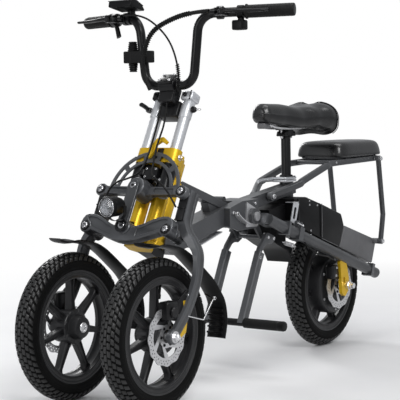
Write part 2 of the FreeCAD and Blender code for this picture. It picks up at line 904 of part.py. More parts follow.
def pivot_base(side):
    """The foot of a brake lever's pivot pin."""
    return along_grip(side, lever_pivot) + ahead(side, lever_ahead) - Vector(0, 0, 9)


grips = []
for side in (1, -1):
    grip_length = size("grip_length")
    start = along_grip(side, grip_length)
    sleeve = cylinder("grip_radius", grip_length - 0.5, start, grip_direction(side))
    flange = cylinder(17.5, 5, start, grip_direction(side))
    room = cylinder("bar_radius + running_fit", grip_length + 20, start, grip_direction(side))
    grips.append(cut_away(joined(sleeve, flange), room))
grip_pair = doc.addObject("Part::Compound", "GripPair")
grip_pair.Links = grips
node("grips", grip_pair)

stem_block = block(62, 36, 42, column_spot(0, -95, 731), Rotation(Vector(1, 0, 0), -RAKE))
clamp_shell = cylinder(20, 46, spot(-23, bar_y, bar_low), Vector(1, 0, 0))
neck = block(46, 34, 46, column_spot(0, -122, 762), Rotation(Vector(1, 0, 0), -RAKE))
caps = [
    cylinder(19, 30, column_spot(x, stanchion_back, size("stanchion_high") + 0.3), COLUMN_UP)
    for x in (stanchion_x, -stanchion_x)
]
collars = [
    cylinder(18, 50, column_spot(x, stanchion_back, 711), COLUMN_UP)
    for x in (stanchion_x, -stanchion_x)
]
bar_room = cylinder("bar_radius", 200, spot(-100, bar_y, bar_low), Vector(1, 0, 0))
stem_rooms = [
    cylinder("stanchion_radius", 100, column_spot(x, stanchion_back, 657), COLUMN_UP)
    for x in (stanchion_x, -stanchion_x)
]
stem = joined(stem_block, clamp_shell, neck, *collars, *caps)
node("stem", cut_away(stem, bar_room, *stem_rooms))

stanchions = []
for x in (stanchion_x, -stanchion_x):
    length = size("stanchion_high") - size("stanchion_low")
    outer = cylinder(
        "stanchion_radius",
        "stanchion_high - stanchion_low",
        column_spot(x, stanchion_back, size("stanchion_low")),
        COLUMN_UP,
    )
    inner = cylinder(
        "stanchion_radius - 2",
        length + 20,
        column_spot(x, stanchion_back, size("stanchion_low") - 10),
        COLUMN_UP,
    )
    stanchions.append(cut_away(outer, inner))
stanchion_pair = doc.addObject("Part::Compound", "StanchionPair")
stanchion_pair.Links = stanchions
node("stanchions", stanchion_pair)

skewer_x = -stanchion_x - 18.5
skewer = cylinder(3, 17, column_spot(skewer_x, stanchion_back, 736), Vector(-1, 0, 0))
paddle = cylinder(6.5, 44, column_spot(skewer_x - 11, stanchion_back + 7, 736), -COLUMN_BACK)
node("stem_lever", joined(skewer, paddle))

lever_pivot = 169.0
lever_ahead = 48.0
perches = []
for side in (1, -1):
    along = grip_direction(side)
    ring = cylinder(16, 16, along_grip(side, 194), along)
    ring_room = cylinder("bar_radius", 60, along_grip(side, 215), along)
    turn = Rotation(Vector(0, 0, 1), math.degrees(math.atan2(along.y, along.x)))
    tongue = block(30, 44, 18, along_grip(side, 175) + ahead(side, 34), turn)
    lever_room = block(60, 44, 12.8, along_grip(side, lever_pivot) + ahead(side, 60), turn)
    pivot_pin = cylinder(3, 18, pivot_base(side), Vector(0, 0, 1))
    perches.append(joined(cut_away(joined(ring, tongue), ring_room, lever_room), pivot_pin))
perch_pair = doc.addObject("Part::Compound", "PerchPair")
perch_pair.Links = perches
node("lever_perches", perch_pair)


def brake_lever(side, name):
    """A blade in front of the grip, hinged on its perch."""
    pivot = along_grip(side, lever_pivot) + ahead(side, lever_ahead)
    blade_points = [
        along_grip(side, lever_pivot - 7) + ahead(side, lever_ahead),
        along_grip(side, 140) + ahead(side, 55) - Vector(0, 0, 1),
        along_grip(side, 96) + ahead(side, 53) - Vector(0, 0, 2),
        along_grip(side, 50) + ahead(side, 58) - Vector(0, 0, 2),
    ]
    blade = swept(blade_points, 5)[0]
    eye = Part.makeCylinder(8, 12, pivot - Vector(0, 0, 6))
    bore = Part.makeCylinder(3.1, 60, pivot - Vector(0, 0, 30))
    node(f"brake_lever_{name}", shape_of(f"Blade{name}", blade.fuse(eye).cut(bore)))


brake_lever(1, "l")
brake_lever(-1, "r")

display_spot = spot(-124, 236, 960)
display_turn = Rotation(Vector(1, 0, 0), -12)
display_case = block(74, 58, 18, display_spot, display_turn)
display_foot = block(14, 20, 16, along_grip(-1, 207) + Vector(0, -3, 15))
display_ring = cylinder(16, 12, along_grip(-1, 212), grip_direction(-1))
display_room = shape_of("DisplayRoom", bar_solid)
node("display", cut_away(joined(display_case, display_foot, display_ring), display_room))

throttle_along = 136.0
throttle_ring = cylinder(17, 18, along_grip(-1, throttle_along + 9), grip_direction(-1))
throttle_room = cylinder("bar_radius + running_fit", 60, along_grip(-1, 170), grip_direction(-1))
thumb_spot = along_grip(-1, throttle_along) + Vector(4, -4, -26)
thumb = block(12, 12, 34, thumb_spot, Rotation(Vector(0, 1, 0), -20))
node("throttle", cut_away(joined(throttle_ring, thumb), throttle_room))

pod_along = 134.0
pod_middle = along_grip(1, pod_along)
pod_ring = cylinder(16, 16, along_grip(1, pod_along + 8), grip_direction(1))
pod_body = block(32, 26, 24, pod_middle + Vector(0, -6, -32))
pod_room = cylinder("bar_radius", 60, along_grip(1, 160), grip_direction(1))
button_spot = pod_middle + Vector(0, 6.5, -32)
button_room = cylinder(5.06, 10, button_spot - Vector(0, 6, 0), Vector(0, 1, 0))
pod_neck = block(14, 12, 14, pod_middle + Vector(0, 0, -16))
node("switch_pod", cut_away(joined(pod_ring, pod_body, pod_neck), pod_room, button_room))
node("horn_button", cylinder(5, 7, button_spot - Vector(0, 3.5, 0), Vector(0, 1, 0)))

# ---------------------------------------------------------------- seat

post_outer = cylinder(
    "post_radius", "post_high - post_low", spot(0, SEAT_Y, size("post_low")), Vector(0, 0, 1)
)
post_inner = cylinder("post_bore_radius", 160, spot(0, SEAT_Y, size("post_low") - 5), Vector(0, 0, 1))
post_head = block(34, 58, 22, spot(0, SEAT_Y + 2, 625))
node("seat_post", joined(cut_away(post_outer, post_inner), post_head))

saddle_outline = [
    (-22, 660),
    (22, 660, 0, 632),
    (30, 740),
    (92, 868, 48, 820),
    (70, 912, 92, 900),
    (-70, 912, 0, 924),
    (-92, 868, -92, 900),
    (-30, 740, -48, 820),
]
node("saddle", plate(saddle_outline, 70, floor_plane(642)))

# ---------------------------------------------------------------- rear half

PITCH = math.radians(size("rail_pitch"))
RAIL_BACK = Vector(0, math.cos(PITCH), -math.sin(PITCH))


def rail_spot(x, along, rise=0.0):
    """A point on a rail's line, counted back from the fold pin."""
    up = Vector(0, math.sin(PITCH), math.cos(PITCH))
    return spot(x, FOLD_Y, FOLD_Z) + RAIL_BACK * along + up * rise


rail_turn = Rotation(Vector(1, 0, 0), -size("rail_pitch"))
rails = []
for side in (1, -1):
    x = side * size("rail_x")
    outer = cylinder("rail_radius", "rail_length - 30", rail_spot(x, 30), RAIL_BACK)
    inner = cylinder("rail_bore_radius", 560, rail_spot(x, 60), RAIL_BACK)
    tube = cut_away(outer, inner)
    lug_start = 51 if side > 0 else -61.5
    lug = across(21, 10.5, lug_start, FOLD_Y, FOLD_Z)
    arm = block(34, 51, 27, rail_spot(side * 68, 40.5), rail_turn)
    bore = across("fold_pin_radius + running_fit", 40, lug_start - 10, FOLD_Y, FOLD_Z)
    head_room = across(14, 40, 62.2 if side > 0 else -102.2, FOLD_Y, FOLD_Z)
    neck = cut_away(joined(lug, arm), bore, head_room)
    clamps = [
        block(34, width, 37, rail_spot(x, along), rail_turn)
        for along, width in ((118, 10), (182, 22), (606, 14))
    ]
    clamp_room = cylinder("rail_bore_radius", 560, rail_spot(x, 60), RAIL_BACK)
    shaped = [cut_away(clamp, clamp_room) for clamp in clamps]
    rails.append(joined(tube, neck, *shaped))
rail_pair = doc.addObject("Part::Compound", "RailPair")
rail_pair.Links = rails
node("rails", rail_pair)


def arch_room(half_width, radius):
    """Room for the rear wheel."""
    return across(radius, 2 * half_width, -half_width, BASE, size("tyre_radius"))


dropouts = []
for side in (1, -1):
    outline = [
        (928, 264),
        (964, 252),
        (978, 190),
        (975, 166, 984, 176),
        (955, 150),
        (940, 158),
    ]
    start = 74 if side > 0 else -84
    ear = plate(outline, 10, side_plane(start))
    rail_room = cylinder("rail_radius", 200, rail_spot(side * size("rail_x"), 360), RAIL_BACK)
    bore = across("stub_axle_radius", 60, side * 79 - 30, BASE, size("tyre_radius"))
    dropouts.append(cut_away(ear, rail_room, bore))
dropout_pair = doc.addObject("Part::Compound", "DropoutPair")
dropout_pair.Links = dropouts
node("dropouts", dropout_pair)

rear_shaft = across("stub_axle_radius", 212, -106, BASE, size("tyre_radius"))
rear_nuts = [across(13, 8, x, BASE, size("tyre_radius")) for x in (84.2, -92.2)]
rear_locks = [across(13, 12, x, BASE, size("tyre_radius")) for x in (61, -73)]
node("rear_axle", joined(rear_shaft, *rear_nuts, *rear_locks))

case_outline = [
    (722, 372),
    (722, 449),
    (785, 449),
    (872, 423),
    (980, 387),
    (995, 352),
    (966, 288),
    (866, 322),
]
case = plate(case_outline, 124, side_plane(0), centred=True)
beam_channel = block(46, 120, 90, spot(0, 752, 433))
node("battery_case", cut_away(case, arch_room(42, 198), beam_channel))

tail_outline = [(996.5, 352), (1188, 294), (1160, 222), (967.5, 287)]
tail = plate(tail_outline, 122, side_plane(0), centred=True)
tail_lugs = [across(9, 16.5, x, 1170, 291) for x in (61, -77.5)]
tail_body = joined(cut_away(tail, arch_room(42, 198)), *tail_lugs)
node("tail_box", tail_body)

guard_line = [(612, 350), (668, 322), (716, 302), (738, 268)]
guard = plate(strip(guard_line, 3), 84, side_plane(0), centred=True)
control_outline = [(634, 341), (634, 421), (716, 433), (716, 303), (668, 324)]
control = plate(control_outline, 70, side_plane(0), centred=True)
node("rear_guard", joined(guard, control))

# ---------------------------------------------------------------- rack, struts and pad

RACK_Y = size("rack_pivot_y")
RACK_Z = size("rack_pivot_height")
rack_x = 28.5
sides = []
for side in (1, -1):
    line = [
        spot(side * rack_x, RACK_Y, RACK_Z),
        spot(side * 67, 744, 487),
        spot(side * 67, 905, 535),
        spot(side * 67, 1172, 541),
    ]
    tube, tube_path, tube_radii = swept(line, size("rack_tube_radius"), 0.3)
    eye = Part.makeCylinder(12, 15.5, spot(20.5 if side > 0 else -36, RACK_Y, RACK_Z), Vector(1, 0, 0))
    sides.append(tube.fuse(eye))
bars = [
    Part.makeCylinder(6, 134, spot(-67, y, 537 + (y - 905) * 6 / 267), Vector(1, 0, 0))
    for y in (935, 1040)
]
rack_shape = sides[0].fuse([sides[1], *bars])
strut_pin = Part.makeCylinder(4, 186, spot(-93, 1160, 541), Vector(1, 0, 0))
pin_bore = Part.makeCylinder(5.05, 120, spot(-60, RACK_Y, RACK_Z), Vector(1, 0, 0))
node("rack", shape_of("RackFrame", rack_shape.cut(pin_bore).fuse(strut_pin)))

pad_outline = [
    (-78, 966),
    (-60, 952, -73, 957),
    (60, 952),
    (78, 966, 73, 957),
    (80, 1180),
    (64, 1196, 77, 1192),
    (-64, 1196),
    (-80, 1180, -77, 1192),
]
node("pad", plate(pad_outline, 46, floor_plane(551.5)))

struts = []
for side in (1, -1):
    x = side * 85.0
    line = [spot(x, 1160, 541), spot(x, 1186, 374), spot(x, 1170, 291)]
    tube, tube_path, tube_radii = swept(line, size("strut_radius"), 0.3)
    eyes = [
        Part.makeCylinder(9, 13, spot(x - 6.5, y, z), Vector(1, 0, 0))
        for y, z in ((1160, 541), (1170, 291))
    ]
    bore = Part.makeCylinder(4.05, 40, spot(x - 20, 1160, 541), Vector(1, 0, 0))
    struts.append(tube.fuse(eyes).cut(bore))
node("struts", shape_of("StrutPair", Part.makeCompound(struts)))

# ---------------------------------------------------------------- footrest

foot_x = size("foot_arm_x")
arm_pairs = []
for side in (1, -1):
    outline = [
        (foot_y - 12, foot_z),
        (foot_y + 4, foot_z + 11, foot_y - 7, foot_z + 9.5),
        (foot_y + 38, foot_z - 3),
        (foot_y + 8, foot_z - 26),
        (foot_y - 34, foot_z - 66, foot_y - 20, foot_z - 42),
        (474, 126),
        (454, 136),
        (foot_y - 54, foot_z - 56),
    ]
    arm_pairs.append(plate(outline, "foot_arm_width", side_plane(side * foot_x), centred=True))
foot_bar = across("peg_radius - 3", 2 * 62, -62, 466, 138)
foot_shaft = across("foot_shaft_radius", 2 * 50, -50, foot_y, foot_z)
node("footrest", joined(*arm_pairs, foot_bar, foot_shaft))
pegs = []
for side in (1, -1):
    start = 62.3 if side > 0 else -size("peg_reach")
    pegs.append(across("peg_radius", size("peg_reach") - 62.3, start, 466, 138))
peg_pair = doc.addObject("Part::Compound", "PegPair")
peg_pair.Links = pegs
node("foot_pegs", peg_pair)

# ---------------------------------------------------------------- cables

cable_radius = size("cable_radius")
harness_radius = size("harness_radius")
display_line = [
    spot(-146, 232, 937),
    spot(-110, 214, 936),
    spot(-64, 212, 932),
    spot(-20, 208, 914),
    spot(30, 204, 872),
    spot(54, 203, 822),
    spot(60, 205, 770),
    spot(50, 212, 742),
]
harness_line = [
    spot(140, 222, 932),
    spot(82, 217, 931),
    spot(12, 213, 911),
    spot(-28, 212, 889),
    spot(-48, 214, 858),
    spot(-62, 218, 822),
    spot(-63, 220, 785),
    spot(-44, 222, 748),
]
bar_solids = [cable(display_line, cable_radius), cable(harness_line, harness_radius)]
node("bar_cables", shape_of("BarCables", Part.makeCompound(bar_solids)))

near_line = [
    spot(8, 222, 714),
    spot(14, 206, 668),
    spot(20, 169, 622),
    spot(24, 150, 592),
    spot(32, 130, 563),
    spot(40, 112, 543),
    spot(66, 102, 532),
    spot(88, 102, 514),
    spot(102, 106, 492),
    spot(117, 106, 468),
]
far_line = [
    spot(-8, 222, 714),
    spot(-8, 206, 670),
    spot(-2, 176, 624),
    spot(3, 152, 592),
    spot(4, 130, 562),
    spot(0, 110, 544),
    spot(-28, 102, 532),
    spot(-52, 102, 528),
    spot(-80, 104, 512),
    spot(-96, 104, 488),
    spot(-104, 104, 464),
]
column_solids = [cable(line, cable_radius) for line in (near_line, far_line)]
node("column_cables", shape_of("ColumnCables", Part.makeCompound(column_solids)))

rear_line = [
    rail_spot(99, 200, -20),
    rail_spot(101, 245, -32),
    rail_spot(100, 290, -34),
    rail_spot(98, 335, -24),
    rail_spot(90, 375, -26),
]
node("rear_cable", shape_of("RearCable", cable(rear_line, cable_radius)))

# ---------------------------------------------------------------- checks and files

doc.recompute()
faults = []
for thing in doc.Objects:
    if "Invalid" in thing.State or "Error" in thing.State:
        faults.append(f"{thing.Label} {thing.State}")
for thing in finished:
    if thing.Shape.isNull() or not thing.Shape.isValid():
        faults.append(f"{thing.Label} has no valid shape")
if faults:
    raise RuntimeError("; ".join(faults))
for thing in finished:
    thing.Shape.exportStep(f"parts/{thing.Label}.step")
print(len(finished), "sub-parts written")
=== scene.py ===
import json
import math

import bmesh
import bpy
from mathutils import Matrix, Vector


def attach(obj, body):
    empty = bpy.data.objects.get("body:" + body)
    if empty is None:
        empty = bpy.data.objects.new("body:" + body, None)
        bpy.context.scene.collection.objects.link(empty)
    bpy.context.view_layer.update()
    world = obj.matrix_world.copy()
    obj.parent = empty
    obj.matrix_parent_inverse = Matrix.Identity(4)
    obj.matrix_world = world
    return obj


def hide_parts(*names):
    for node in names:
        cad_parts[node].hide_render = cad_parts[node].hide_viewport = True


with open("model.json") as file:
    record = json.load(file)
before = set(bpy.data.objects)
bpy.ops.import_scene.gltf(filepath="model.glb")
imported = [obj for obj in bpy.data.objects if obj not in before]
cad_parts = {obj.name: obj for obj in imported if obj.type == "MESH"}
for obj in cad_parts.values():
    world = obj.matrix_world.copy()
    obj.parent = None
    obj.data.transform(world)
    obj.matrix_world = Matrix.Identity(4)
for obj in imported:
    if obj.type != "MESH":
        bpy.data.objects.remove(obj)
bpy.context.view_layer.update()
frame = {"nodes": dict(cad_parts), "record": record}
RECORD = frame["record"]
NODES = frame["nodes"]
SLOT_OF = {row["node"]: row["material_slot"] for row in RECORD["subparts"]}
PAINT = {row["slot"]: row["base_color"] for row in RECORD["materials"]}

# ---------------------------------------------------------------- places

AXLE_Y = -0.508
RAKE = math.radians(27.5)
COLUMN_UP = Vector((0, math.sin(RAKE), math.cos(RAKE)))
COLUMN_BACK = Vector((0, math.cos(RAKE), -math.sin(RAKE)))
LEFT = Vector((1, 0, 0))
UP = Vector((0, 0, 1))
BACK = Vector((0, 1, 0))


def spot(x, y, z):
    """Millimetres to the row frame: across, behind the front axle, above the floor."""
    return Vector((x / 1000, y / 1000 + AXLE_Y, z / 1000))


def column_spot(x, back, up):
    """The same in the raked column's own directions."""
    return spot(x, 0, 0) + (COLUMN_BACK * back + COLUMN_UP * up) / 1000


# ---------------------------------------------------------------- materials


def fill(tree, node, inputs):
    """Sets a node's inputs: an output is linked, anything else is a plain value."""
    for key, value in inputs.items():
        if isinstance(value, bpy.types.NodeSocket):
            tree.links.new(value, node.inputs[key])
        else:
            node.inputs[key].default_value = value


def add(tree, kind, inputs=None, **settings):
    """A new shader node with its settings and inputs."""
    node = tree.nodes.new(f"ShaderNode{kind}")
    for key, value in settings.items():
        setattr(node, key, value)
    fill(tree, node, inputs or {})
    return node


def shader(slot, rough, metallic=0.0, coat=0.0, specular=0.5):
    """A Principled material with the record's colour; returns it with its node tree's parts."""
    made = bpy.data.materials.new(slot)
    made.use_nodes = True
    tree = made.node_tree
    bsdf = tree.nodes["Principled BSDF"]
    surface = {"Base Color": (*PAINT[slot][:3], 1), "Roughness": rough, "Metallic": metallic}
    fill(tree, bsdf, {**surface, "Coat Weight": coat, "Specular IOR Level": specular})
    return made, tree, bsdf, add(tree, "TexCoord").outputs["Object"]


def noise(tree, coords, scale, detail=4.0, rough=0.6, stretch=None):
    """A noise texture; stretch squeezes it along an axis, as brushing does."""
    if stretch:
        coords = add(tree, "Mapping", {"Scale": stretch, "Vector": coords}).outputs["Vector"]
    size = {"Scale": scale, "Detail": detail, "Roughness": rough}
    return add(tree, "TexNoise", {**size, "Vector": coords}).outputs["Fac"]


def ramp(tree, value, stops):
    """A colour ramp between two stops of (position, colour)."""
    node = add(tree, "ValToRGB", {"Fac": value})
    for element, (position, colour) in zip(node.color_ramp.elements, stops):
        element.position, element.color = position, (*colour, 1)
    return node.outputs["Color"]


def spread(tree, value, low, high):
    """Maps the middle of a noise onto a range."""
    ends = {"From Min": 0.3, "From Max": 0.7, "To Min": low, "To Max": high}
    return add(tree, "MapRange", {**ends, "Value": value}).outputs["Result"]


def mix(tree, factor, first, second):
    """Blends two colours by a factor."""
    return add(tree, "Mix", data_type="RGBA", inputs={0: factor, 6: first, 7: second}).outputs[2]


def bump(tree, bsdf, height, distance, strength=1.0):
    """Raises the surface by a height map."""
    node = add(tree, "Bump", {"Strength": strength, "Distance": distance, "Height": height})
    fill(tree, bsdf, {"Normal": node.outputs["Normal"]})


def shade(colour, factor):
    """A colour made darker or paler, kept within 1."""
    return tuple(min(1.0, c * factor) for c in colour[:3])


def edges(tree, low, high):
    """1 on worn outer edges, 0 elsewhere."""
    geometry = add(tree, "NewGeometry")
    ends = {"From Min": low, "From Max": high}
    return add(tree, "MapRange", {**ends, "Value": geometry.outputs["Pointiness"]}).outputs["Result"]


def painted(slot, rough, wear, metallic=0.0, coat=0.0, grain=0.00003, depth=900.0, specular=0.5):
    """Powder coat: fine orange peel, faint dust, and edges rubbed paler."""
    made, tree, bsdf, coords = shader(slot, rough, metallic, coat, specular)
    base = PAINT[slot]
    cloud = noise(tree, coords, 9, 5)
    body = ramp(tree, cloud, [(0.35, shade(base, 0.86)), (0.7, shade(base, 1.12))])
    colour = mix(tree, edges(tree, 0.52, 0.6), body, (*shade(base, wear), 1.0))
    fill(tree, bsdf, {"Base Color": colour})
    scuffs = noise(tree, coords, 45, 8, 0.7)
    fill(tree, bsdf, {"Roughness": spread(tree, scuffs, rough - 0.06, rough + 0.1)})
    bump(tree, bsdf, noise(tree, coords, depth, 2), grain)
    return made


def metal(slot, rough, tone, brushed=None, grain=0.00001, metallic=1.0):
    """Bare or anodised metal: brushing lines, slight tone changes and soft smudges."""
    made, tree, bsdf, coords = shader(slot, rough, metallic)
    lines = noise(tree, coords, 320, 3, 0.7, brushed) if brushed else noise(tree, coords, 300, 3)
    body = ramp(tree, lines, [(0.3, shade(PAINT[slot], 1 - tone)), (0.7, shade(PAINT[slot], 1 + tone))])
    fill(tree, bsdf, {"Base Color": body})
    smudge = noise(tree, coords, 30, 6, 0.6)
    fill(tree, bsdf, {"Roughness": spread(tree, smudge, rough - 0.05, rough + 0.09)})
    bump(tree, bsdf, lines, grain)
    return made


def moulded(slot, rough, depth, scale, coat=0.0, dust=1.35, specular=0.25):
    """Moulded rubber or plastic: fine grain and patches of pale dust."""
    made, tree, bsdf, coords = shader(slot, rough, 0.0, coat, specular)
    cloud = noise(tree, coords, 14, 6, 0.65)
    body = ramp(tree, cloud, [(0.35, shade(PAINT[slot], 0.8)), (0.72, shade(PAINT[slot], dust))])
    fill(tree, bsdf, {"Base Color": body})
    grain = noise(tree, coords, scale, 2)
    fill(tree, bsdf, {"Roughness": spread(tree, cloud, rough - 0.05, rough + 0.08)})
    bump(tree, bsdf, grain, depth)
    return made


def leather(slot):
    """Grained vinyl: cells with creases between them, over a slow unevenness."""
    made, tree, bsdf, coords = shader(slot, 0.34, 0.0, 0.0, 0.6)
    cells = add(tree, "TexVoronoi", feature="SMOOTH_F1", inputs={"Scale": 420, "Vector": coords})
    cloud = noise(tree, coords, 20, 5)
    body = ramp(tree, cloud, [(0.3, shade(PAINT[slot], 0.85)), (0.75, shade(PAINT[slot], 1.3))])
    fill(tree, bsdf, {"Base Color": body})
    fill(tree, bsdf, {"Roughness": spread(tree, cloud, 0.25, 0.33)})
    bump(tree, bsdf, cells.outputs["Distance"], 0.00008, 0.5)
    return made


def clear_lens(slot):
    """A fluted clear lens."""
    made, tree, bsdf, coords = shader(slot, 0.04)
    fill(tree, bsdf, {"Transmission Weight": 0.97, "IOR": 1.49})
    flutes = add(tree, "TexWave", bands_direction="X", inputs={"Scale": 75, "Vector": coords})
    haze = noise(tree, coords, 60, 3)
    fill(tree, bsdf, {"Roughness": spread(tree, haze, 0.02, 0.05)})
    bump(tree, bsdf, flutes.outputs["Fac"], 0.0002, 0.25)
    return made


# The tones read off the photograph in this light, where they differ from the record's slots.
PAINT["gold"] = (0.74, 0.46, 0.012)
PAINT["black_metal"] = (0.005, 0.005, 0.0055)
PAINT["cast_black"] = (0.012, 0.012, 0.013)
PAINT["tyre"] = (0.0035, 0.0035, 0.0035)
PAINT["rubber"] = (0.006, 0.006, 0.006)
PAINT["plastic"] = (0.004, 0.004, 0.0045)
PAINT["saddle_cover"] = (0.005, 0.005, 0.0055)
PAINT["gunmetal"] = (0.062, 0.064, 0.068)


def gold_column(slot):
    """Gold anodising between the two arms; black above them as the column's own colour, and black on the neck
    behind the tubes as painted shade under the yoke.
    """
    made = metal(slot, 0.36, 0.05, (0.2, 0.2, 3), metallic=0.45)
    tree = made.node_tree
    bsdf = tree.nodes["Principled BSDF"]
    coords = add(tree, "TexCoord").outputs["Object"]
    black_and_shade_masks = []
    # The first mask is the column's black above the arms; the second is painted shade over the yoke's neck
    # behind the tubes.
    for direction, limit in ((COLUMN_UP, 0.516), (COLUMN_BACK, -0.052)):
        along = add(tree, "VectorMath", operation="DOT_PRODUCT", inputs={0: coords, 1: direction})
        reach = {0: along.outputs["Value"], 1: limit + AXLE_Y * direction.y}
        black_and_shade_masks.append(add(tree, "Math", operation="GREATER_THAN", inputs=reach).outputs[0])
    black_or_shade = add(tree, "Math", operation="MAXIMUM", inputs=dict(enumerate(black_and_shade_masks)))
    gold = bsdf.inputs["Base Color"].links[0].from_socket
    colour = mix(tree, black_or_shade.outputs[0], gold, (*PAINT["black_metal"], 1.0))
    fill(tree, bsdf, {"Base Color": colour})
    return made


FINISH = {
    "gunmetal": painted("gunmetal", 0.36, 1.9, metallic=0.3, coat=0.1, specular=0.4),
    "black_metal": painted("black_metal", 0.32, 1.8, coat=0.06, specular=0.22),
    "cast_black": painted("cast_black", 0.4, 1.7, coat=0.05, specular=0.35),
    "grey_plastic": painted("grey_plastic", 0.5, 1.3, grain=0.00006, depth=700),
    "gold": metal("gold", 0.36, 0.05, (0.2, 0.2, 3), metallic=0.45),
    "silver": metal("silver", 0.36, 0.05, (6, 6, 0.3), metallic=0.6),
    "steel": metal("steel", 0.34, 0.1, (0.5, 4, 4), metallic=0.8),
    "chrome": metal("chrome", 0.22, 0.03, metallic=0.9),
    "tyre": moulded("tyre", 0.62, 0.00008, 900, dust=1.7, specular=0.08),
    "rubber": moulded("rubber", 0.5, 0.00006, 1100, dust=1.4, specular=0.18),
    "plastic": moulded("plastic", 0.36, 0.00004, 1300, specular=0.16),
    "gloss_plastic": moulded("gloss_plastic", 0.12, 0.000004, 500, coat=0.5, dust=1.1),
    "saddle_cover": leather("saddle_cover"),
    "lens": clear_lens("lens"),
}


def extra(name, slot, colour, build, **kwargs):
    """A finish of its own colour that belongs to one of the record's slots."""
    kept = PAINT[slot]
    PAINT[slot] = colour
    made = build(slot, **kwargs)
    made.name = name
    PAINT[slot] = kept
    return made


# The tread's lugs: a paler, glossier copy of the tyre rubber; the paler colour is a painted highlight on the
# tread.
RIB = {"rough": 0.4, "depth": 0.00006, "scale": 900, "dust": 1.5, "specular": 0.5}
LUG_PAINTED_SHEEN = extra("lug", "tyre", (0.009, 0.009, 0.009), moulded, **RIB)
BOLT = extra("bolt", "chrome", (0.36, 0.36, 0.37), metal, rough=0.2, tone=0.15)
BOWL = extra("bowl", "chrome", (0.3, 0.3, 0.31), metal, rough=0.16, tone=0.1)

# ---------------------------------------------------------------- making pieces


def settle(obj, body, slot, finish=None):
    """Gives a new piece its material, its body and its record slot."""
    obj.data.materials.clear()
    obj.data.materials.append(finish or FINISH[slot])
    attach(obj, body)
    return obj


def crease(bm, angle=32):
    """Smooth faces with sharp edges where the surface turns by more than the angle."""
    limit = math.radians(angle)
    for face in bm.faces:
        face.smooth = True
    for edge in bm.edges:
        edge.smooth = edge.is_manifold and edge.calc_face_angle(0) < limit


def piece(name, body, slot, *meshes, finish=None, angle=32, replaces=None):
    """One object from one or more bmeshes; replaces names the CAD node that it stands for."""
    whole = bpy.data.meshes.new(name)
    merged = bmesh.new()
    for bm in meshes:
        crease(bm, angle)
        part = bpy.data.meshes.new("part")
        bm.to_mesh(part)
        bm.free()
        merged.from_mesh(part)
        bpy.data.meshes.remove(part)
    merged.to_mesh(whole)
    merged.free()
    obj = bpy.data.objects.new(name, whole)
    bpy.context.scene.collection.objects.link(obj)
    settle(obj, body, slot, finish)
    if replaces:
        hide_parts(replaces)
    return obj


def aim(where, direction, roll=UP):
    """A placement whose Z points along the direction."""
    z = Vector(direction).normalized()
    side = Vector(roll).cross(z)
    if side.length < 0.05:
        side = LEFT.cross(z)
    x = side.normalized()
    y = z.cross(x)
    place = Matrix((x, y, z)).transposed().to_4x4()
    place.translation = where
    return place


def plane_at(where, right, up):
    """A placement for an outline drawn with its own right and up."""
    x = Vector(right).normalized()
    y = Vector(up).normalized()
    place = Matrix((x, y, x.cross(y))).transposed().to_4x4()
    place.translation = where
    return place


def level(x, y, z):
    """A placement for a level outline: across, then back."""
    return plane_at(spot(x, y, z), LEFT, BACK)


def upright(x, y=0, z=0):
    """A placement for an outline drawn from the side: back, then up."""
    return plane_at(spot(x, y, z), BACK, UP)


def on_column(x, back, up):
    """A placement across the column: across, then back."""
    return plane_at(column_spot(x, back, up), LEFT, COLUMN_BACK)


def lathe(profile, where, direction, steps=48, closed=False):
    """Turns a profile of (along, radius) in millimetres about a line."""
    bm = bmesh.new()
    rings = []
    place = aim(where, direction)
    for along, radius in profile:
        if radius < 1e-4:
            rings.append([bm.verts.new(place @ Vector((0, 0, along / 1000)))])
            continue
        ring = []
        for index in range(steps):
            a = 2 * math.pi * index / steps
            p = Vector((radius * math.cos(a), radius * math.sin(a), along)) / 1000
            ring.append(bm.verts.new(place @ p))
        rings.append(ring)
    pairs = list(zip(rings, rings[1:]))
    if closed:
        pairs.append((rings[-1], rings[0]))
    for low, high in pairs:
        for index in range(steps):
            after = (index + 1) % steps
            corners = [
                low[index % len(low)], low[after % len(low)], high[after % len(high)],
                high[index % len(high)],
            ]
            unique = list(dict.fromkeys(corners))
            if len(unique) > 2:
                bm.faces.new(unique)
    bmesh.ops.recalc_face_normals(bm, faces=bm.faces)
    return bm


def bevelled(bm, width, segments=2, angle=30):
    """Rounds the edges sharper than the angle by a width in millimetres."""
    limit = math.radians(angle)
    sharp = [e for e in bm.edges if e.is_manifold and e.calc_face_angle(0) > limit]
    bmesh.ops.bevel(
        bm, geom=sharp, offset=width / 1000, segments=segments, affect="EDGES", clamp_overlap=True,
        profile=0.5,
    )
    return bm


def prism(outline, thick, place, round_by=1.0, segments=2):
    """An outline in millimetres extruded both ways by half its thickness, with rounded edges."""
    bm = bmesh.new()
    half = thick / 2000
    low = [bm.verts.new(place @ Vector((x / 1000, y / 1000, -half))) for x, y in outline]
    high = [bm.verts.new(place @ Vector((x / 1000, y / 1000, half))) for x, y in outline]
    bm.faces.new(low[::-1])
    bm.faces.new(high)
    for index in range(len(outline)):
        after = (index + 1) % len(outline)
        bm.faces.new((low[index], low[after], high[after], high[index]))
    bmesh.ops.recalc_face_normals(bm, faces=bm.faces)
    if round_by:
        bevelled(bm, round_by, segments, 25)
    return bm


def rectangle(half, tall):
    """An outline from its half width and half height."""
    return [(-half, -tall), (half, -tall), (half, tall), (-half, tall)]


def brick(size_mm, place, round_by=1.5, segments=2):
    """A block with rounded edges, from its size in millimetres."""
    x, y, z = (v / 2 for v in size_mm)
    return prism(rectangle(x, y), 2 * z, place, round_by, segments)


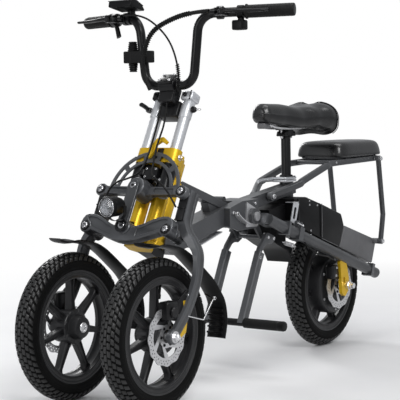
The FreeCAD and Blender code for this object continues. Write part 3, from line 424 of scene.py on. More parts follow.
def rounded(points, radii, steps=6):
    """An outline with its corners rounded by arcs: one radius, or one for each corner."""
    made = []
    count = len(points)
    if isinstance(radii, (int, float)):
        radii = [radii] * count
    for index, radius in enumerate(radii):
        corner = Vector(points[index])
        before = (Vector(points[index - 1]) - corner).normalized()
        after = (Vector(points[(index + 1) % count]) - corner).normalized()
        half = before.angle(after) / 2
        if radius <= 0 or half > math.radians(88):
            made.append(tuple(corner))
            continue
        reach = radius / math.tan(half)
        heart = corner + (before + after).normalized() * (radius / math.sin(half))
        first = corner + before * reach - heart
        last = corner + after * reach - heart
        turn = first.angle_signed(last)
        for step in range(steps + 1):
            angle = -turn * step / steps
            c, s = math.cos(angle), math.sin(angle)
            made.append((heart.x + first.x * c - first.y * s, heart.y + first.x * s + first.y * c))
    return made


def arc(cx, cy, radius, first, last, steps=12):
    """Points on a circle, in degrees."""
    angles = [math.radians(first + (last - first) * i / steps) for i in range(steps + 1)]
    return [(cx + radius * math.cos(a), cy + radius * math.sin(a)) for a in angles]


def smooth_line(points, steps=8):
    """A Catmull-Rom line through the points."""
    ends = [points[0] * 2 - points[1]] + list(points) + [points[-1] * 2 - points[-2]]
    line = []
    for a, b, c, d in zip(ends, ends[1:], ends[2:], ends[3:]):
        for index in range(steps):
            u = index / steps
            slope, bend, twist = c - a, 2 * a - 5 * b + 4 * c - d, 3 * b - a - 3 * c + d
            line.append(0.5 * (2 * b + slope * u + bend * u * u + twist * u**3))
    line.append(points[-1].copy())
    return line


def frames(line, first_side=None):
    """A side and a top direction at each point of a line, turned as little as possible."""
    made = []
    side = None
    for index, point in enumerate(line):
        ahead = line[min(index + 1, len(line) - 1)] - line[max(index - 1, 0)]
        ahead.normalize()
        if side is None:
            side = Vector(first_side) if first_side else UP.cross(ahead)
            if side.length < 0.1:
                side = LEFT.copy()
        side = (side - ahead * side.dot(ahead)).normalized()
        made.append((point, side, ahead.cross(side), ahead))
    return made


def bridge(bm, rings):
    """Joins each ring to the next with quads."""
    for low, high in zip(rings, rings[1:]):
        for index in range(len(low)):
            after = (index + 1) % len(low)
            bm.faces.new((low[index], low[after], high[after], high[index]))


def skin(bm, rings):
    """A closed form from rings, with both ends capped."""
    bridge(bm, rings)
    bm.faces.new(rings[0][::-1])
    bm.faces.new(rings[-1])
    bmesh.ops.recalc_face_normals(bm, faces=bm.faces)
    return bm


def loft(line, section, first_side=None):
    """Sweeps sections along a line. section(share) gives (side, top) pairs in millimetres."""
    bm = bmesh.new()
    rings = []
    count = len(line) - 1
    for index, (point, side, top, _) in enumerate(frames(line, first_side)):
        ring = [bm.verts.new(point + (side * a + top * b) / 1000) for a, b in section(index / count)]
        rings.append(ring)
    return skin(bm, rings)


def circle(radius, steps=20):
    """A ring of points about the middle."""
    angles = [2 * math.pi * i / steps for i in range(steps)]
    return [(radius * math.cos(a), radius * math.sin(a)) for a in angles]


def pipe(line, radius, steps=16):
    """A round bar along a line; radius is a number or a function of the share along it."""
    size_at = radius if callable(radius) else (lambda share: radius)
    return loft(line, lambda share: circle(size_at(share), steps))


def rod(start, end, radius, round_by=0.8, steps=24):
    """A round bar with softened ends."""
    length = (end - start).length * 1000
    lip = min(round_by, radius * 0.4, length * 0.3)
    profile = [(0, 0), (0, radius - lip), (lip * 0.3, radius - lip * 0.3), (lip, radius)]
    profile += [(length - a, r) for a, r in profile[::-1]]
    return lathe(profile, start, end - start, steps)


def socket_bolt(where, out, radius, height, steps=20):
    """A cap screw: a round chamfered head with a sunken socket."""
    lip = radius * 0.12
    depth = height - radius * 0.7
    head = [(-1, 0), (-1, radius), (height - lip, radius), (height, radius - lip)]
    return lathe(head + [(height, radius * 0.56), (depth, radius * 0.5), (depth, 0)], where, out, steps)


def side_bolts(x, places, radius, height):
    """Cap screws at the same places on both sides, facing outwards."""
    both = [(side, y, z) for side in (1, -1) for y, z in places]
    return [socket_bolt(spot(side * x, y, z), LEFT * side, radius, height) for side, y, z in both]


def hex_nut(where, out, radius, height, dome=True):
    """A nut: six flats, a chamfered top and, on a cap nut, a dome."""
    corners = lathe(
        [(-1, 0), (-1, radius), (height * 0.85, radius), (height, radius * 0.86), (height, 0)], where,
        out, 6,
    )
    if not dome:
        stud = rod(where, where + Vector(out).normalized() * (height + 2) / 1000, radius * 0.5)
        return [corners, stud]
    cap = lathe(
        [
            (height - 0.5, radius * 0.74), (height + radius * 0.3, radius * 0.66),
            (height + radius * 0.62, radius * 0.34), (height + radius * 0.7, 0),
        ],
        where, out, 20,
    )
    return [corners, cap]


def washer(where, out, radius, thick):
    """A flat ring under a bolt, with a chamfered rim."""
    lip = thick * 0.25
    return lathe(
        [(0, 0), (0, radius), (thick - lip, radius), (thick, radius - lip), (thick, 0)], where, out, 28,
    )


def eye(where, direction, half, bore, radius, lip, steps=28):
    """A turned boss centred on its place, with chamfered ends; a bore of 0 makes it solid."""
    edge = [(half, bore), (half, radius - lip), (half - lip, radius)]
    profile = [(-along, r) for along, r in edge] + edge[::-1]
    return lathe(profile, where, direction, steps, closed=bore > 0)


def tube_ring(where, direction, bore, radius, length, lip=1.0, steps=36):
    """A ring round a tube, with its outer edges chamfered."""
    profile = [(0, bore), (0, radius - lip), (lip, radius), (length - lip, radius)]
    return lathe(profile + [(length, radius - lip), (length, bore)], where, direction, steps, closed=True)


# ---------------------------------------------------------------- camera, lights and floor

# The camera's place and axes in the row frame, matched to the wheels' ellipses.
CAMERA_SPOT = Vector((2.01826, -2.91524, 0.69391))
CAMERA_RIGHT = Vector((0.80929, 0.58713, -0.01821))
CAMERA_UP = Vector((-0.02484, 0.06519, 0.99756))
CAMERA_BACKWARDS = Vector((0.58688, -0.80687, 0.06734))
SENSOR_WIDTH, FOCAL_LENGTH, SHIFT_X, SHIFT_Y = 36, 120.56, -0.0021, 0.0026
LIT, MIRRORED = 0.2, 0.6  # how bright the white room is in plain light and in reflections
FLOOR_HALF, FADE_FROM, FADE_TO = 30, 0.9, 2.6  # metres


def camera():
    """The camera that the photograph was taken with, as matched."""
    data = bpy.data.cameras.new("Camera")
    data.sensor_width, data.lens = SENSOR_WIDTH, FOCAL_LENGTH
    data.shift_x, data.shift_y = SHIFT_X, SHIFT_Y
    data.clip_end = 100
    cam = bpy.data.objects.new("Camera", data)
    bpy.context.scene.collection.objects.link(cam)
    place = Matrix((CAMERA_RIGHT, CAMERA_UP, CAMERA_BACKWARDS)).transposed().to_4x4()
    place.translation = CAMERA_SPOT
    cam.matrix_world = place
    bpy.context.scene.camera = cam


def softbox(name, where, target, size, power):
    """An area light that faces a target."""
    data = bpy.data.lights.new(name, "AREA")
    data.shape = "RECTANGLE"
    data.size, data.size_y = size
    data.energy = power
    lamp = bpy.data.objects.new(name, data)
    bpy.context.scene.collection.objects.link(lamp)
    lamp.location = where
    lamp.rotation_euler = (Vector(target) - Vector(where)).to_track_quat("-Z", "Y").to_euler()


def studio_world():
    """A white room: dim in plain light, brighter in reflections, pure white to the camera."""
    world = bpy.data.worlds.new("World")
    bpy.context.scene.world = world
    world.use_nodes = True
    tree = world.node_tree
    lit = tree.nodes["Background"]
    fill(tree, lit, {"Color": (0.9, 0.93, 1.0, 1), "Strength": LIT})
    shown = add(tree, "Background", {"Color": (1, 1, 1, 1), "Strength": 1.0})
    mirrored = add(tree, "Background", {"Color": (0.95, 0.97, 1.0, 1), "Strength": MIRRORED})
    path = add(tree, "LightPath").outputs
    seen = {0: path["Is Camera Ray"], 1: path["Is Transmission Ray"]}
    clear = add(tree, "Math", operation="MAXIMUM", inputs=seen)
    rays = add(tree, "MixShader", {0: path["Is Glossy Ray"], 1: lit.outputs[0], 2: mirrored.outputs[0]})
    last = add(tree, "MixShader", {0: clear.outputs[0], 1: rays.outputs[0], 2: shown.outputs[0]})
    fill(tree, tree.nodes["World Output"], {"Surface": last.outputs[0]})
    bpy.context.scene.view_settings.view_transform = "Standard"


def studio_floor():
    """A pale floor that fades into the white backdrop for the camera and keeps its shadow."""
    mesh = bpy.data.meshes.new("floor")
    half = FLOOR_HALF
    corners = [(-half, -half, 0), (half, -half, 0), (half, half, 0), (-half, half, 0)]
    mesh.from_pydata(corners, [], [(0, 1, 2, 3)])
    floor = bpy.data.objects.new("floor", mesh)
    bpy.context.scene.collection.objects.link(floor)
    made = bpy.data.materials.new("floor")
    made.use_nodes = True
    tree = made.node_tree
    bsdf = tree.nodes["Principled BSDF"]
    coords = add(tree, "TexCoord").outputs["Object"]
    colour = ramp(tree, noise(tree, coords, 3, 3), [(0.3, (0.86, 0.86, 0.87)), (0.7, (0.9, 0.9, 0.9))])
    fill(tree, bsdf, {"Roughness": 0.6, "Base Color": colour})
    glow = add(tree, "Emission", {"Color": (1, 1, 1, 1), "Strength": 1.0})
    distance = add(tree, "VectorMath", operation="LENGTH", inputs={0: coords})
    ends = {"From Min": FADE_FROM, "From Max": FADE_TO}
    fade = add(tree, "MapRange", {**ends, "Value": distance.outputs["Value"]})
    shown = {0: fade.outputs["Result"], 1: add(tree, "LightPath").outputs["Is Camera Ray"]}
    amount = add(tree, "Math", operation="MULTIPLY", inputs=shown)
    blend = add(tree, "MixShader", {0: amount.outputs[0], 1: bsdf.outputs[0], 2: glow.outputs[0]})
    fill(tree, tree.nodes["Material Output"], {"Surface": blend.outputs[0]})
    mesh.materials.append(made)


# ---------------------------------------------------------------- CAD nodes that stay


def dress_cad():
    """Every CAD node gets its finish; its edges are softened by modifiers, its mesh is kept."""
    for name, obj in NODES.items():
        obj.data.materials.clear()
        obj.data.materials.append(FINISH[SLOT_OF[name]])
        weld = obj.modifiers.new("weld", "WELD")
        weld.merge_threshold = 0.00002
        soft = obj.modifiers.new("soft_edges", "BEVEL")
        soft.width = 0.0009
        soft.segments = 2
        soft.limit_method = "ANGLE"
        soft.angle_limit = math.radians(38)
        soft.use_clamp_overlap = True
        shading = obj.modifiers.new("shading", "WEIGHTED_NORMAL")
        shading.keep_sharp = False


def pierced(outer, holes, thick, place, round_by=0.0):
    """A flat plate with holes: outlines in millimetres, extruded both ways."""
    bm = bmesh.new()
    edges_made = []
    for outline in [outer, *holes]:
        ring = [bm.verts.new(Vector((x / 1000, y / 1000, -thick / 2000))) for x, y in outline]
        for index, vert in enumerate(ring):
            edges_made.append(bm.edges.new((vert, ring[(index + 1) % len(ring)])))
    bmesh.ops.triangle_fill(bm, use_beauty=True, use_dissolve=False, edges=edges_made)
    made = bmesh.ops.extrude_face_region(bm, geom=bm.faces[:])
    moved = [v for v in made["geom"] if isinstance(v, bmesh.types.BMVert)]
    bmesh.ops.translate(bm, verts=moved, vec=(0, 0, thick / 1000))
    bmesh.ops.recalc_face_normals(bm, faces=bm.faces)
    bmesh.ops.transform(bm, matrix=place, verts=bm.verts)
    if round_by:
        bevelled(bm, round_by, 1, 60)
    return bm


def hole(x, y, radius, steps=12):
    """A round hole as an outline."""
    return arc(x, y, radius, 0, 360 * (steps - 1) / steps, steps - 1)


# ---------------------------------------------------------------- wheels

TYRE_RADIUS = 180.0
AXLE, HALF_TRACK, WHEELBASE = TYRE_RADIUS, 129, 968
CROWN_RADIUS = 28.4
CROWN_HEART = TYRE_RADIUS - CROWN_RADIUS
GROOVE = 2.6
TREAD_ROWS = [  # first and last angle across the crown, block length along the tread, skew
    (-8, 8, 0.80, 0.0),
    (11, 27, 0.74, 3.0),
    (30, 46, 0.66, 6.5),
    (49, 70, 0.60, 9.0),
    (-27, -11, 0.74, 3.0),
    (-46, -30, 0.66, 6.5),
    (-70, -49, 0.60, 9.0),
]


def tread_block(bm, place, start, length, first, last, skew):
    """One lug of the tread, with chamfered edges, standing on the carcass."""

    def at(u, v, height):
        across = math.radians(first + (last - first) * v)
        lean = skew * (abs(math.degrees(across)) - min(abs(first), abs(last))) / 20
        around = math.radians(start + length * u + lean / 4)
        ring = CROWN_HEART + (CROWN_RADIUS - height) * math.cos(across)
        x = (CROWN_RADIUS - height) * math.sin(across)
        return place @ (Vector((ring * math.cos(around), ring * math.sin(around), x)) / 1000)

    top = [[bm.verts.new(at(0.09 + 0.41 * i, 0.09 + 0.41 * j, 0)) for j in range(3)] for i in range(3)]
    order = [(0, 0), (0, 1), (0, 2), (1, 2), (2, 2), (2, 1), (2, 0), (1, 0)]
    for i in range(2):
        for j in range(2):
            bm.faces.new((top[i][j], top[i + 1][j], top[i + 1][j + 1], top[i][j + 1]))
    rings = [[top[i][j] for i, j in order]]
    for height in (0.5, GROOVE + 0.8):
        rings.append([bm.verts.new(at(i / 2, j / 2, height)) for i, j in order])
    bridge(bm, rings)


def tyre(name, heart, body, replaced, pitch_count=60):
    """Carcass with sidewall ribs and a bead line, and a tread of separate lugs."""
    floor_radius = CROWN_RADIUS - GROOVE
    angles = [math.radians(a) for a in range(-72, 73, 8)]
    crown = [(floor_radius * math.sin(a), CROWN_HEART + floor_radius * math.cos(a)) for a in angles]
    wall = [(27.2, 156), (27.4, 151), (26.7, 150.2), (26.9, 146), (26.0, 141.5), (25.2, 140.8)]
    wall += [(24.9, 137.8), (23, 136.5), (18, 136.2)]
    carcass = lathe([(-x, r) for x, r in wall[::-1]] + crown + wall, heart, LEFT, 96)
    tread = bmesh.new()
    place = aim(heart, LEFT)
    step = 360 / pitch_count
    for row, (first, last, share, skew) in enumerate(TREAD_ROWS):
        for index in range(pitch_count):
            start = step * (index + (0.5 if row in (1, 3, 4, 6) else 0))
            tread_block(tread, place, start, step * share, first, last, skew)
    bmesh.ops.recalc_face_normals(tread, faces=tread.faces)
    piece(name, body, "tyre", carcass, angle=40, replaces=replaced)
    # The lugs take the paler rubber, a painted highlight on the tread.
    piece(f"{name}_lugs", body, "tyre", tread, finish=LUG_PAINTED_SHEEN, angle=40)


SPOKES = 7
SPOKE_END, SPOKE_DEEP = 119.5, 20


def cast_spoke(heart, angle, inner, root, tip, groove):
    """A tapered spoke with a channel down each face."""
    place = aim(heart, LEFT)
    a = math.radians(angle)
    out = place.to_3x3() @ Vector((math.cos(a), math.sin(a), 0))
    sideways = LEFT.cross(out)
    line = [heart + out * (inner + (SPOKE_END - inner) * i / 8) / 1000 for i in range(9)]

    def section(share):
        flare = max(0.0, share - 0.82) / 0.18
        half = (root + (tip - root) * min(1.0, share * 1.15)) / 2 + 6 * flare**2
        deep = SPOKE_DEEP / 2 * (1 - 0.12 * share)
        rim = half * 0.42
        right = [
            (rim, deep - groove), (rim + 1.2, deep), (half - 1.5, deep), (half, deep - 2),
            (half, -deep + 2), (half - 1.5, -deep), (rim + 1.2, -deep), (rim, -deep + groove),
        ]
        return right + [(-x, y) for x, y in right[::-1]]

    return loft(line, section, sideways)


def rim_and_spokes(heart, inner, root, tip, groove):
    """A drop-centre rim and its spokes, from the hub's radius out."""
    half = [(-24, 137), (-24, 133), (-21.5, 130), (-21, 124), (-23.5, 120.5), (-22.5, 118)]
    half += [(-12, 116.5), (-6, 119)]
    well = [(22, 138.5), (14, 128), (-14, 128), (-22, 138.5)]
    rim = lathe(half + [(-x, r) for x, r in half[::-1]] + well, heart, LEFT, 96, closed=True)
    angles = [360 * index / SPOKES + 90 for index in range(SPOKES)]
    return [rim] + [cast_spoke(heart, angle, inner, root, tip, groove) for angle in angles]


def front_wheel(side, name):
    """One cast front wheel with its hub, tyre, valve and disc."""
    heart = spot(side * HALF_TRACK, 0, AXLE)
    body = f"wheel_{name}"
    tyre(f"tread_{name}", heart, body, f"tyre_{name}")
    parts = rim_and_spokes(heart, 30, 21, 12, 3.0)
    inward = -LEFT * side
    hub = [(-33, 22), (-33, 36), (-30, 40), (16, 42), (18, 40), (20, 31), (22, 30)]
    hub += [(36, 27), (40, 25), (41, 20), (41, 9), (36, 8.2), (-33, 8.2)]
    parts.append(lathe(hub, heart, inward, 56, closed=True))
    for index in range(SPOKES):
        a = math.radians(360 * (index + 0.5) / SPOKES + 90)
        place = aim(heart, LEFT)
        out = place.to_3x3() @ Vector((math.cos(a), math.sin(a), 0))
        lobe = heart + out * 0.034 + inward * 0.004
        parts.append(lathe([(-14, 0), (-14, 10), (14, 10), (16, 8.5), (16, 0)], lobe, inward, 18))
    piece(f"cast_wheel_{name}", body, "cast_black", *parts, angle=28, replaces=f"wheel_{name}")
    valve(heart, body, name)
    where = heart + LEFT * side * 0.0349
    brake_disc(f"brake_disc_{name}", where, LEFT * side, body, f"rotor_{name}")


def valve(heart, body, name):
    """A valve stem with its cap, standing in from the rim."""
    out = Vector((0, math.sin(math.radians(12)), math.cos(math.radians(12))))
    base = heart + out * 0.117
    stem = rod(base, base - out * 0.024, 3.4)
    cap = rod(base - out * 0.022, base - out * 0.034, 4.6, 1.6)
    piece(f"valve_{name}", body, "rubber", stem, cap)


DISC_RADIUS = 70.0


def brake_disc(name, where, out, body, replaces=None):
    """A wavy-edged disc with two rows of holes and swept arms."""
    outline = []
    for index in range(180):
        a = 2 * math.pi * index / 180
        r = DISC_RADIUS - 1.6 + 1.6 * math.cos(12 * a)
        outline.append((r * math.cos(a), r * math.sin(a)))
    holes = []
    for r, shift in ((DISC_RADIUS - 6.6, 0.0), (DISC_RADIUS - 12.6, 0.5)):
        for index in range(36):
            a = 2 * math.pi * (index + shift) / 36
            holes.append(hole(r * math.cos(a), r * math.sin(a), 1.9, 8))
    for index in range(6):
        window = []
        for r, first, last in ((27, 12, 46), (50, 7, 51)):
            turn = 60 * index + (r - 27) * 1.25
            window.append(arc(0, 0, r, turn + first, turn + last, 6))
        holes.append(window[0] + window[1][::-1])
        a = math.radians(60 * index)
        holes.append(hole(22 * math.cos(a), 22 * math.sin(a), 2.4, 10))
    holes.append(hole(0, 0, 15.5, 32))
    disc = pierced(outline, holes, 1.8, aim(where, out))
    piece(name, body, "steel", disc, angle=40, replaces=replaces)
    hub_bolts = []
    for index in range(6):
        a = math.radians(60 * index)
        spot_at = aim(where, out) @ Vector((0.022 * math.cos(a), 0.022 * math.sin(a), 0.0009))
        hub_bolts.append(socket_bolt(spot_at, out, 3.6, 2.0, 12))
    piece(f"{name}_bolts", body, "black_metal", *hub_bolts)


def rear_wheel():
    """The rear wheel: a cast rim around the hub motor's ribbed drum."""
    heart = spot(0, WHEELBASE, AXLE)
    body = "wheel_rear"
    tyre("tread_rear", heart, body, "tyre_rear", 54)
    parts = rim_and_spokes(heart, 80, 20, 13, 2.6)
    drum = [
        (-54, 9), (-54, 27), (-51, 30), (-47, 31), (-46, 36), (-45, 62), (-43, 68), (-43, 76), (-40, 81),
        (-34, 84),
    ]
    drum = drum + [(-x, r) for x, r in drum[::-1]]
    parts.append(lathe(drum, heart, LEFT, 72, closed=True))
    ribs = []
    for side in (1, -1):
        for index in range(24):
            a = math.radians(15 * index)
            place = aim(heart + LEFT * side * 0.0445, LEFT * side)
            middle = place @ Vector((0.050 * math.cos(a), 0.050 * math.sin(a), 0))
            out = place.to_3x3() @ Vector((math.cos(a), math.sin(a), 0))
            ribs.append(brick((24, 2.4, 3), plane_at(middle, out, (LEFT * side).cross(out)), 0.6, 1))
    piece("motor_wheel", body, "cast_black", *parts, *ribs, angle=28, replaces="wheel_rear")
    screws = []
    for side in (1, -1):
        for index in range(6):
            a = math.radians(60 * index + 30)
            place = aim(heart + LEFT * side * 0.0425, LEFT * side)
            where = place @ Vector((0.0725 * math.cos(a), 0.0725 * math.sin(a), 0))
            screws.append(socket_bolt(where, LEFT * side, 3.6, 2.5, 12))
    piece("motor_screws", body, "steel", *screws)
    valve(heart, body, "rear")
    brake_disc("brake_disc_rear", heart + LEFT * 0.0565, LEFT, body)


# ---------------------------------------------------------------- leaning parallelogram

LEG_X, TUBE_X, TUBE_BACK = 181, 44.5, -95
UPPER, LOWER, REACH = 503.0, 398.5, 122.5
FORWARDS = -COLUMN_BACK


def front_plane(back):
    """Right is the rider's left and up is up the column; heights are the column's own."""
    return plane_at(column_spot(0, back, 0), LEFT, COLUMN_UP)


def pivot_bolt(x, back, up, radius=8.6):
    """A domed bolt with a sunken socket, and the dark cup washer behind it."""
    where = column_spot(x, back, up)
    cup = [(-0.4, 0), (-0.4, radius + 3.4), (1.4, radius + 3.2), (2.1, radius + 2.2), (2.1, 0)]
    dome = [(2.0, 0), (2.0, radius), (3.0, radius), (4.6, radius * 0.86), (5.6, radius * 0.62)]
    dome += [(5.8, radius * 0.44), (2.6, radius * 0.4), (2.6, 0)]
    return lathe(dome, where, FORWARDS, 28), lathe(cup, where, FORWARDS, 40)


def bush_housing(x, front, rear, up, radius):
    """A turned housing with a shoulder at each end and a waist with a grease groove."""
    length = rear - front
    profile = [(0, 6), (0, radius - 1.5), (1.5, radius), (length * 0.3, radius)]
    profile += [(length * 0.3 + 1, radius - 1.6), (length * 0.36, radius - 1.6)]
    profile += [(length * 0.36 + 1, radius - 0.2), (length * 0.8, radius - 0.2)]
    profile += [
        (length * 0.8 + 1.2, radius + 1.0), (length - 1.2, radius + 1.0), (length, radius), (length, 6),
    ]
    return lathe(profile, column_spot(x, front, up), COLUMN_BACK, 40, closed=True)


def arm(name, node, up, front, thick, outline, pocket_pairs, hub_radius):
    """A forged arm: a web inside a raised rim, a boss in the middle and an eye at each end."""
    middle = front + thick / 2
    solid = prism(outline, thick - 6, front_plane(middle), 1.6, 2)
    rim = pierced(outline, pocket_pairs, thick, front_plane(middle), 1.2)
    hub = [
        (0, 6.2), (0, hub_radius - 2), (2, hub_radius), (49, hub_radius), (50.5, hub_radius - 1.5),
        (50.5, 6.2),
    ]
    boss = lathe(hub, column_spot(0, -149.8, up), COLUMN_BACK, 56, closed=True)
    ring = [
        (0, 11.5), (0, 14.6), (1.4, 16), (thick - 1.4, 16), (thick, 14.6), (thick, 6.2), (3, 6.2),
        (3, 11.5),
    ]
    eyes = [lathe(ring, column_spot(x, front, up), COLUMN_BACK, 44, closed=True) for x in (-REACH, REACH)]
    piece(name, node, "gunmetal", solid, rim, boss, *eyes, angle=30, replaces=node)
    seat = [(1.2, 6.4), (1.2, 11.2), (3.2, 11.2), (3.2, 6.4)]
    seats = [lathe(seat, column_spot(x, front, up), COLUMN_BACK, 36, closed=True) for x in (-REACH, REACH)]
    piece(f"{name}_bushes", node, "black_metal", *seats)


def both_sides(half):
    """An outline from its left half, given from the top middle to the bottom middle."""
    return half + [(-x, up) for x, up in half[::-1] if x > 0]


def upper_arm():
    """The straight upper arm with its round middle."""
    bar = [(30, UPPER + 9), (REACH, UPPER + 9), (REACH, UPPER - 9), (30, UPPER - 12)]
    half = arc(0, UPPER, 28, 86, 34, 8) + bar + arc(0, UPPER, 24, -38, -86, 8)
    pockets = []
    for side in (1, -1):
        corners = [(42, UPPER - 6), (100, UPPER - 5), (100, UPPER + 5.5), (42, UPPER + 5.5)]
        pockets.append(rounded([(side * x, up) for x, up in corners], 3))
    arm("upper_arm_forging", "upper_arm", UPPER, -128.5, 17, both_sides(half), pockets, 25)


def lower_arm():
    """A wing: deep in the middle, rising outwards and curling down over its eyes."""
    wing = [(8, 3), (24, 3), (40, 7), (56, 13), (70, 20), (84, 26), (96, 30), (108, 32), (121, 32), (131, 28)]
    wing += [(137, 19), (140, 6), (138, -4), (132, -12), (REACH, -16), (112, -13), (104, -9), (92, -12)]
    wing += [(76, -17), (60, -22), (44, -27), (24, -32), (8, -34)]
    valley = [(38, -2), (56, 5), (70, 12), (84, 18), (98, 23), (112, 25), (122, 23), (108, 2)]
    valley += [(92, -4), (76, -9), (60, -14), (44, -19), (38, -20)]
    pockets = [[(side * x, LOWER + up) for x, up in valley] for side in (1, -1)]
    outline = both_sides([(x, LOWER + up) for x, up in wing])
    arm("lower_arm_forging", "lower_arm", LOWER, -144.5, 26, outline, pockets, 18)


def lock_ring():
    """The lean lock: a slotted half ring with its feet on the upper arm."""
    outer, inner = 107, 78
    outline = arc(0, UPPER, outer, -5, 185, 60) + arc(0, UPPER, inner, 185, -5, 48)
    slots = []
    for first, last in ((12, 38), (46, 74), (106, 134), (142, 168)):
        slots.append(arc(0, UPPER, outer - 9, first, last, 12) + arc(0, UPPER, inner + 8, last, first, 12))
    holes = [
        hole(92.5 * math.cos(a), UPPER + 92.5 * math.sin(a), 4)
        for a in (math.radians(83), math.radians(97))
    ]
    ring = pierced(outline, slots + holes, 4.5, front_plane(-116.8), 0.6)
    piece("lean_lock_ring", "upper_arm", "gunmetal", ring, angle=35, replaces="lock_ring")


def front_plate():
    """The plate that ties the two arm pivots together, with its bolts."""
    half = 15.5
    outline = arc(0, UPPER, half, 0, 180, 16) + arc(0, LOWER, half, 180, 360, 16)
    body = prism(outline, 7.6, front_plane(-154.1), 1.3, 3)
    piece("plate", "truck", "gunmetal", body, angle=25, replaces="front_plate")
    silver, dark = [], []
    for up, radius in ((UPPER, 8.0), (LOWER, 9.0)):
        where = column_spot(0, -157.9, up)
        head = [(0, 0), (0, radius), (1.2, radius), (1.9, radius - 0.8), (1.9, 4.6), (0.6, 4.2), (0.6, 0)]
        silver.append(lathe(head, where, FORWARDS, 32))
        # A black hex in each bolt's socket: painted shade in the socket.
        dark.append(lathe([(0.6, 0), (0.6, 3.4), (1.5, 3.4), (1.5, 0)], where, FORWARDS, 6))
    piece("plate_bolts", "truck", "chrome", *silver, finish=BOLT)
    piece("plate_bolt_sockets", "truck", "black_metal", *dark)
    rim = [(0, 11.5), (0, 17.5), (2.2, 17.5), (3.0, 16.6), (3.0, 11.5)]
    ring = lathe(rim, column_spot(0, -158.0, LOWER), FORWARDS, 40, closed=True)
    piece("plate_lower_ring", "truck", "black_metal", ring)


def leg_section(width, depth, chamfer):
    """Outline of the leg's tube: flat faces, wide chamfers, and a groove down the outside."""
    w, d, c = width / 2, depth / 2, chamfer
    right = [(w - c * 0.6, d), (w, d - c), (w, d * 0.30), (w - 1.2, d * 0.22)]
    right += [(w - 1.2, -d * 0.30), (w, -d * 0.38), (w, -d + c), (w - c * 0.6, -d)]
    return right + [(-x, y) for x, y in right[::-1]]


def leg(side, name):
    """One wheel carrier's leg, with its bush housings, pivot bolts and axle end."""
    body = f"carrier_{name}"
    route = [
        (125, 156, 499), (125, 143, 474), (126, 131, 450), (130, 121, 428), (143, 115, 404),
        (162, 114, 382), (176, 111, 358), (180.5, 103, 322), (181, 86, 280), (181, 54, 232),
        (181, 20, 198), (181, 3, 182),
    ]
    line = smooth_line([spot(side * x, y, z) for x, y, z in route], 5)
    widths = [(0, 33), (0.2, 32), (0.36, 25), (0.5, 19), (0.62, 16), (1.0, 15)]
    depths = [(0, 36), (0.2, 33), (0.36, 33), (0.5, 33), (0.7, 30), (1.0, 27)]

    def at(rows, share):
        for (a, first), (b, last) in zip(rows, rows[1:]):
            if share <= b:
                return first + (last - first) * (share - a) / (b - a)
        return rows[-1][1]

    tube = loft(line, lambda share: leg_section(at(widths, share), at(depths, share), 4.5), LEFT)
    end = eye(spot(side * LEG_X, 0, AXLE), LEFT, 7.5, 9, 17.5, 2.5, 36)
    housings = [
        bush_housing(side * REACH, -111.1, -84, UPPER, 15),
        bush_housing(side * REACH, -118.1, -84, LOWER, 15),
    ]
    piece(f"leg_{name}", body, "gunmetal", tube, end, angle=26, replaces=f"upright_{name}")
    piece(f"bush_housings_{name}", body, "gunmetal", *housings)
    chrome, cups = [], []
    for front, up in ((-129.0, UPPER), (-145.0, LOWER)):
        dome, cup = pivot_bolt(side * REACH, front, up)
        chrome.append(dome)
        cups.append(cup)
    piece(f"pivot_bolts_{name}", body, "chrome", *chrome, finish=BOLT)
    piece(f"pivot_cups_{name}", body, "black_metal", *cups)
    lean = (BACK * 0.43 + UP * 0.903).normalized()
    seat = spot(side * 125, 118.5, 466)
    channel = brick((22, 66, 4), plane_at(seat, LEFT, lean), 1.0)
    ribs = []
    for along in (-0.031, 0, 0.031):
        place = plane_at(seat + lean * along - BACK * 0.001, LEFT, lean)
        ribs.append(brick((22, 3.5, 7), place, 0.8))
    for along in (-0.016, 0.016):
        ring = [(0, 4), (0, 7), (3, 7), (3, 4)]
        ribs.append(lathe(ring, seat + lean * along, lean.cross(LEFT), 24, closed=True))
    piece(f"leg_channel_{name}", body, "black_metal", channel, *ribs)
    out = LEFT * side
    tip = spot(side * 189, 0, AXLE)
    piece(f"axle_nut_{name}", body, "chrome", *hex_nut(tip + out * 0.001, out, 10, 6))
    piece(f"axle_washer_{name}", body, "steel", washer(spot(side * 188.4, 0, AXLE), out, 14, 1.6))
    inner = spot(side * 93, 0, AXLE)
    cap = [(0, 0), (0, 11), (2, 12.5), (6, 12.5), (8, 11), (8, 7), (5.5, 6), (5.5, 0)]
    piece(f"axle_cap_{name}", body, "chrome", lathe(cap, inner, -out, 36))
    shaft = rod(spot(side * 94, 0, AXLE), spot(side * 189, 0, AXLE), 8)
    piece(f"stub_axle_{name}", body, "steel", shaft)


